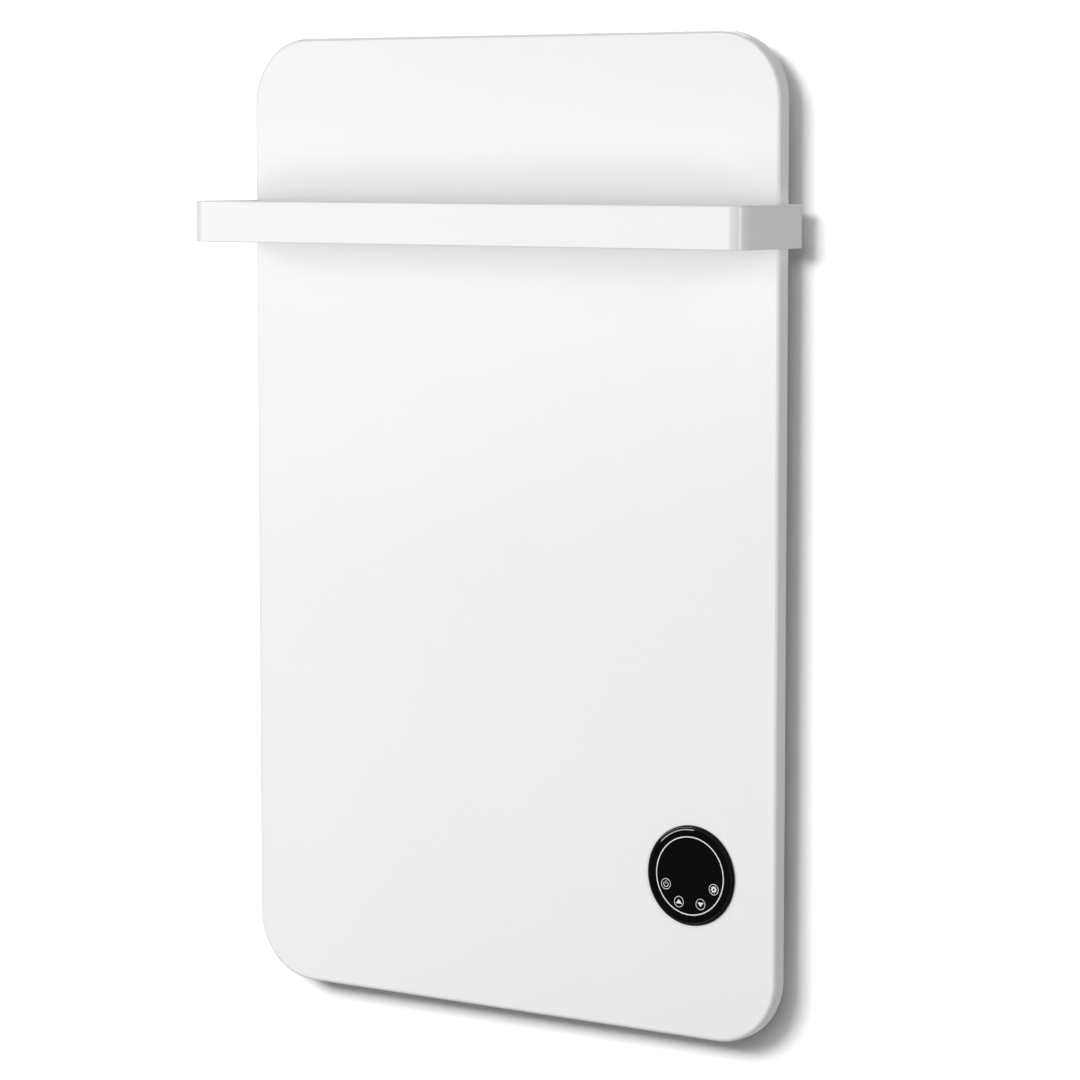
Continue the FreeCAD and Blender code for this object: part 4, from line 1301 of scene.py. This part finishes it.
@dataclass
class Hangers(SubAssembly):
    """The four hooks on the back of the panel and the rivets that hold them.

    The rivet's profile is given from its rim to the floor round its stem, each corner by its radius
    and its height.
    """

    strap: BentStrap
    drop: float = 11.0 * MM
    rivet_reach: float = 11.0 * MM
    rivet_rise: float = 15.0 * MM
    rivet_shank: float = 2.0 * MM
    rivet_length: float = 5.0 * MM
    rivet_end: float = 1.0 * MM
    rivet_profile: tuple[tuple[float, float], ...] = (
        (4.0 * MM, 0.0), (4.0 * MM, 0.36 * MM), (2.48 * MM, 1.02 * MM), (1.125 * MM, 1.2 * MM),
        (0.9 * MM, 0.42 * MM), (0.0, 0.42 * MM))
    rivet_steps: int = 32
    rivet_crease: float = 50.0
    rivet_turn: float = 25.0
    nodes: tuple[str, ...] = (
        "hanger_upper_left", "hanger_upper_right", "hanger_lower_left", "hanger_lower_right")

    def hook(self, node: str) -> Blank:
        """Bend the hook that fills a node's box.

        Args:
            node: the CAD node.

        Returns:
            The hook.
        """
        low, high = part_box(node)
        half = self.strap.sheet / 2
        web_z = low.z + self.drop + half
        return self.strap.finish(self.strap.build("hook_master", (
            (low.y + half, high.z), (low.y + half, web_z), (high.y - half, web_z), (high.y - half, low.z),
        ), low.x, high.x))

    def rivet(self) -> Blank:
        """Turn a blind rivet with its broken stem down in the head.

        Returns:
            The rivet, its head's seat at the origin.
        """
        return Blank.lathe("rivet_set", ORIGIN, Y_AXIS, (
            (0.0, -self.rivet_length),
            (self.rivet_shank, -self.rivet_length, self.rivet_end),
            (self.rivet_shank, 0.0),
            *self.rivet_profile,
        ), self.rivet_steps).smooth(self.rivet_crease)

    def build(self) -> list[Made]:
        """Bend one hook, copy it to its four places, and set two rivets in each.

        Returns:
            The pieces.
        """
        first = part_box(self.nodes[0])[0]
        master = self.hook(self.nodes[0])
        made = []
        places = []
        for node in self.nodes:
            low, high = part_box(node)
            hook = master.twin(node.replace("hanger", "hook"), low - first)
            made.append(Made(hook, "zinc_sheet", (node,)))
            for side in BOTH_SIDES:
                places.append(Vector(((low.x + high.x) / 2 + side * self.rivet_reach,
                                      low.y + self.strap.sheet, low.z + self.drop + self.rivet_rise)))
        master.scrap()
        rivets = self.rivet().scattered(places, self.rivet_turn)
        return made + [Made(rivets, "screw_steel", ("hanger_rivets",))]


@dataclass
class ControlBox(SubAssembly):
    """The moulded box behind the control with four screw ears, and its cord gland's cap."""

    corner: Round = Round(8.0 * MM, 10)
    edge: Round = Round(2.0 * MM, 5)
    burr: float = 0.3 * MM
    wall: float = 2.0 * MM
    side: float = 110.0 * MM
    ear_width: float = 16.0 * MM
    ear_height: float = 3.0 * MM
    ear_corner: Round = Round(4.0 * MM, 6)
    ear_reach_x: float = 40.0 * MM
    ear_reach_z: float = 62.0 * MM
    screw_hole: Round = Round(1.6 * MM, 24)
    screw_turn: float = 52.0
    gland_hole: Round = Round(6.15 * MM, 48)
    grip_ribs: int = 12
    steps_a_rib: int = 4
    grip_rim: float = 0.15 * MM
    grip_depth: float = 0.45 * MM
    cap_mouth: float = 4.2 * MM
    cap_pocket: float = 5.35 * MM
    cap_floor: float = 2.0 * MM
    cap_top_rounding: float = 0.6 * MM
    cap_nose_rounding: float = 1.6 * MM
    cap_mouth_rounding: float = 0.4 * MM

    def __post_init__(self) -> None:
        """Find the box's middle and its seat on the frame."""
        self.low, self.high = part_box("control_box")
        middle = middle_of("control_box")
        self.middle = Vector((middle.x, 0.0, middle.z))
        self.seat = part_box("box_gasket")[1].y

    def ear_places(self, depth: float) -> list[Vector]:
        """Give the middles of the ears' screws at a depth."""
        return [self.middle + Vector((across * self.ear_reach_x, depth, up * self.ear_reach_z))
                for up in BOTH_SIDES for across in BOTH_SIDES]

    def ear(self, middle: Vector) -> Blank:
        """Model one ear round its screw hole, rooted in the box's wall.

        Args:
            middle: the middle of the ear's screw.

        Returns:
            The ear.
        """
        outward = 1.0 if middle.z > self.middle.z else -1.0
        tip = self.high.z if outward > 0 else self.low.z
        root = self.middle.z + outward * (self.side / 2 - self.wall / 2)
        half = self.ear_width / 2
        ear = Blank.block("ear", (middle.x - half, self.low.y, min(tip, root)),
                          (middle.x + half, self.low.y + self.ear_height, max(tip, root)))

        def at_tip(edge: bmesh.types.BMEdge) -> bool:
            """Pass the two upright edges of the ear's tip."""
            return runs_deep(edge) and abs(edge.verts[0].co.z - tip) < NEAR

        return ear.round_off(at_tip, self.ear_corner)

    def box(self) -> Blank:
        """Mould the box: rounded walls, a hollow, four ears and the gland's hole.

        Returns:
            The box.
        """
        half = self.side / 2
        floor = self.high.y
        box = Blank.slab("box_moulding", (self.middle.x, self.middle.z), (half, half), (self.seat, floor))
        box.round_off(runs_deep, self.corner)
        box.round_off(crease_at(floor), self.edge)
        with box.editing(Element.FACE, facing(-Y_AXIS)):
            inset(self.wall)
            extrude(Y_AXIS * (floor - self.seat - self.wall))
        gland = middle_of("gland_body")
        inside = Vector((gland.x, gland.y, self.middle.z - half + 2 * self.wall))
        depth = 4 * self.wall
        drills = [Blank.rod("gland_drill", inside - Z_AXIS * depth, inside, self.gland_hole)]
        for place in self.ear_places(self.low.y - self.wall):
            box.carve(Carve.FUSE, self.ear(place))
            drills.append(Blank.rod("ear_drill", place, place + Y_AXIS * depth, self.screw_hole))
        return box.carve(Carve.CUT, *drills).soften(self.burr).clean().smooth()

    def gland_cap(self) -> Blank:
        """Turn the gland's cap and press its grip ribs.

        Returns:
            The cap.
        """
        low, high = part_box("gland_cap")
        middle = middle_of("gland_cap")
        radius = (high.x - low.x) / 2
        centre = Vector((middle.x, middle.y, 0.0))
        steps = self.steps_a_rib * self.grip_ribs
        cap = Blank.lathe("gland_grip_cap", centre, Z_AXIS, (
            (radius, high.z, self.cap_top_rounding),
            (radius, low.z, self.cap_nose_rounding),
            (self.cap_mouth, low.z, self.cap_mouth_rounding),
            (self.cap_mouth, low.z + self.cap_floor),
            (self.cap_pocket, low.z + self.cap_floor),
            (self.cap_pocket, high.z),
        ), steps, closed=True)

        def is_valley(side: bmesh.types.BMFace) -> bool:
            """Pass half of the tall faces round the outside, in runs.

            Args:
                side: the face.

            Returns:
                Whether it is pressed in.
            """
            place = side.calc_center_median() - centre
            outside = Vector((place.x, place.y)).length > radius - self.grip_depth
            number = math.floor(math.atan2(place.y, place.x) / math.tau * steps)
            upright = abs(side.normal.z) < 10 * NEAR
            return outside and upright and number % self.steps_a_rib < self.steps_a_rib // 2

        with cap.editing(Element.FACE, is_valley):
            inset(self.grip_rim, -self.grip_depth)
        return cap.smooth()

    def build(self) -> list[Made]:
        """Model the box, its screws and the gland's cap.

        Returns:
            The pieces.
        """
        seats = self.ear_places(self.low.y + self.ear_height)
        screw = PanScrew(head_radius=3.0 * MM, head_height=2.0 * MM).build("box_screw_set")
        return [
            Made(self.box(), "black_plastic", ("control_box",)),
            Made(screw.scattered(seats, self.screw_turn), "screw_steel", ("box_screws",)),
            Made(self.gland_cap(), "black_plastic", ("gland_cap",)),
        ]


# Studio

class Reach(Enum):
    """What a light falls on."""

    ALL = "everything"
    HEATER = "everything but the wall, the floor and the black control"
    WALL = "the wall alone"
    CONTROL = "the black control alone"


@dataclass
class SoftLight:
    """One soft rectangular light, aimed at a point and rolled about its own axis.

    It may pass one named piece, which then casts no shadow in it.
    """

    name: str
    place: tuple[float, float, float]
    aim: tuple[float, float, float]
    width: float
    height: float
    power: float
    reach: Reach = Reach.ALL
    roll: float = 0.0
    passes: str = ""

    def build(self, named: Sequence[bpy.types.Object]) -> None:
        """Hang the light.

        Args:
            named: what the light keeps to, or what it leaves out where it is for the heater.
        """
        place = Vector(self.place)
        turn = (Vector(self.aim) - place).to_track_quat("-Z", "Y")
        clear_bench()
        bpy.ops.object.light_add(type="AREA", location=place)
        lamp = bpy.context.object
        lamp.name = self.name
        lamp.rotation_euler = (turn @ Quaternion(Z_AXIS, math.radians(self.roll))).to_euler()
        lamp.data.shape = "RECTANGLE"
        lamp.data.size = self.width
        lamp.data.size_y = self.height
        lamp.data.energy = self.power
        lamp.visible_camera = False
        if self.reach is not Reach.ALL:
            lamp.light_linking.receiver_collection = self.group(named, self.reach is Reach.HEATER)
        if self.passes:
            passed = [bpy.data.objects[self.passes]]
            lamp.light_linking.blocker_collection = self.group(passed, True)

    def group(self, pieces: Sequence[bpy.types.Object], left_out: bool) -> bpy.types.Collection:
        """Collect the pieces that the light keeps to or leaves out.

        Args:
            pieces: the pieces.
            left_out: whether the light leaves them out.

        Returns:
            The collection, in no scene.
        """
        chosen = bpy.data.collections.new(self.name + "_pieces")
        for piece in pieces:
            chosen.objects.link(piece)
        for row in chosen.collection_objects:
            row.light_linking.link_state = "EXCLUDE" if left_out else "INCLUDE"
        return chosen


@dataclass
class Studio:
    """A white wall and floor, soft light, and the camera at the photograph's viewing angle."""

    room_grey: float = 0.8
    ambient: float = 0.22
    wall_white: float = 0.95
    wall_mottle: float = 0.98
    wall_mottle_size: float = 0.4
    wall_lift: float = 0.02
    floor_lift: float = 0.5
    wall_width: float = 5.0
    wall_height: float = 3.6
    floor_drop: float = 1.2
    lens: float = 129.494
    sensor: float = 36.0
    camera_place: tuple[float, float, float] = (1.9291, -2.7842, 0.3261)
    camera_yaw: float = 34.58
    camera_pitch: float = 5.723
    lights: tuple[SoftLight, ...] = (
        SoftLight("key_light", (-1.58, -2.5, 0.5), (0.0, 0.0, 0.1), 2.2, 1.6, 42.5, Reach.HEATER),
        SoftLight("low_light", (-1.3, -2.5, -0.75), (0.0, 0.0, -0.2), 2.2, 0.9, 18.0, Reach.HEATER),
        SoftLight("side_light", (2.3, -0.2, 0.3), (0.28, -0.03, 0.0), 0.4, 1.6, 0.6, Reach.HEATER),
        SoftLight("strip_light", (2.0, -1.3, 0.3), (0.1, 0.0, 0.0), 0.06, 2.0, 17.6, Reach.HEATER),
        SoftLight("glint_light", (-1.51, -1.54, 0.5), (0.192, -0.04, -0.285), 1.5, 0.2, 130.0,
                  Reach.CONTROL, 28.0),
        SoftLight("wall_light", (-0.9, -6.75, 3.2), (0.0, 0.0, 0.0), 4.05, 2.03, 560.0, Reach.WALL,
                  passes="bar_tube"),
        SoftLight("wall_fill_light", (2.83, -6.75, 2.6), (0.0, 0.0, 0.0), 2.84, 1.6, 92.0, Reach.WALL),
        SoftLight("back_light", (-0.9, 1.5, 2.6), (0.0, 0.0, 0.0), 1.6, 1.6, 40.0),
    )

    def world(self) -> None:
        """Surround the scene with plain pale light, seen as white."""
        world = bpy.data.worlds.new("pale_room")
        bpy.context.scene.world = world
        graph = Graph(world)
        glow = self.ambient + graph.seen() * (1.0 - self.ambient)
        room = graph.feed("ShaderNodeBackground", None, {
            "Color": (*grey(self.room_grey), 1.0), "Strength": glow})
        graph.add("ShaderNodeOutputWorld", None, {"Surface": room})

    def backdrop_paint(self, name: str, lifted: float) -> bpy.types.Material:
        """Mix the matt white of the wall or the floor.

        It is clear from behind, and clear to the light that falls straight on the heater, so that the
        back of the heater is lit. It stays solid to the light that the wall itself gathers, which keeps
        the heater's shadow on it.

        Args:
            name: the name of the material.
            lifted: how much brighter it looks than the light on it makes it.

        Returns:
            The material.
        """
        paint = bpy.data.materials.new(name)
        graph = Graph(paint)
        tint = graph.blend(graph.cloud(graph.place(), self.wall_mottle_size), grey(self.wall_white),
                           grey(self.wall_mottle * self.wall_white))
        matt = graph.feed("ShaderNodeBsdfDiffuse", None, {"Color": tint})
        lift = graph.feed("ShaderNodeEmission", None, {"Strength": graph.seen() * lifted})
        solid = graph.feed("ShaderNodeAddShader", None, {0: matt, 1: lift})
        clear = graph.feed("ShaderNodeBsdfTransparent")
        behind = graph.feed("ShaderNodeNewGeometry", output="Backfacing")
        to_heater = graph.ray("Diffuse Depth") < 0.5 + graph.ray("Is Diffuse Ray")
        share = behind | to_heater * (1.0 - graph.ray("Is Camera Ray"))
        surface = graph.feed("ShaderNodeMixShader", None, {0: share, 1: solid, 2: clear})
        graph.add("ShaderNodeOutputMaterial", None, {"Surface": surface})
        return paint

    def backdrop(self) -> tuple[bpy.types.Object, bpy.types.Object]:
        """Set up the wall that the heater hangs on and the floor below it.

        Returns:
            The wall and the floor.
        """
        middle = Vector((0.0, 0.0, self.wall_height / 2 - self.floor_drop))
        wall = Blank.upright("studio_wall", middle, self.wall_width, self.wall_height).piece
        floor = Blank.add("studio_floor", bpy.ops.mesh.primitive_plane_add, size=2 * self.wall_width,
                          location=(0.0, 0.0, -self.floor_drop)).piece
        wall.data.materials.append(self.backdrop_paint("wall_white", self.wall_lift))
        floor.data.materials.append(self.backdrop_paint("floor_white", self.floor_lift))
        return wall, floor

    def camera(self) -> None:
        """Stand the camera where the photograph was taken from."""
        turn = (QUARTER - math.radians(self.camera_pitch), 0.0, math.radians(self.camera_yaw))
        clear_bench()
        bpy.ops.object.camera_add(location=self.camera_place, rotation=turn)
        camera = bpy.context.object
        camera.data.lens = self.lens
        camera.data.sensor_width = self.sensor
        bpy.context.scene.camera = camera

    def build(self, control: Sequence[bpy.types.Object]) -> None:
        """Set up the backdrop, the light and the camera.

        Args:
            control: the black pieces of the control, which have a light of their own.
        """
        self.world()
        wall, floor = self.backdrop()
        named = {Reach.HEATER: (wall, floor, *control), Reach.WALL: (wall,), Reach.CONTROL: control}
        for light in self.lights:
            light.build(named.get(light.reach, ()))
        self.camera()
        bpy.context.scene.view_settings.view_transform = "Standard"


def main() -> None:
    """Build the heater's pieces in order, dress them and set up the studio."""
    logging.basicConfig(level=logging.INFO, format="%(message)s")
    rack = FinishRack()
    rack.coat_carried_nodes()
    strap = BentStrap()
    assemblies = (HeatingPanel(), TowelBar(), TouchControl(), RearCover(), WallRails(strap),
                  Hangers(strap), ControlBox())
    for assembly in assemblies:
        assembly.dress(assembly.build(), rack)
    Studio().build([bpy.data.objects[name] for name in ("bezel_ring", "glass_disc")])


if __name__ == "__main__":
    main()
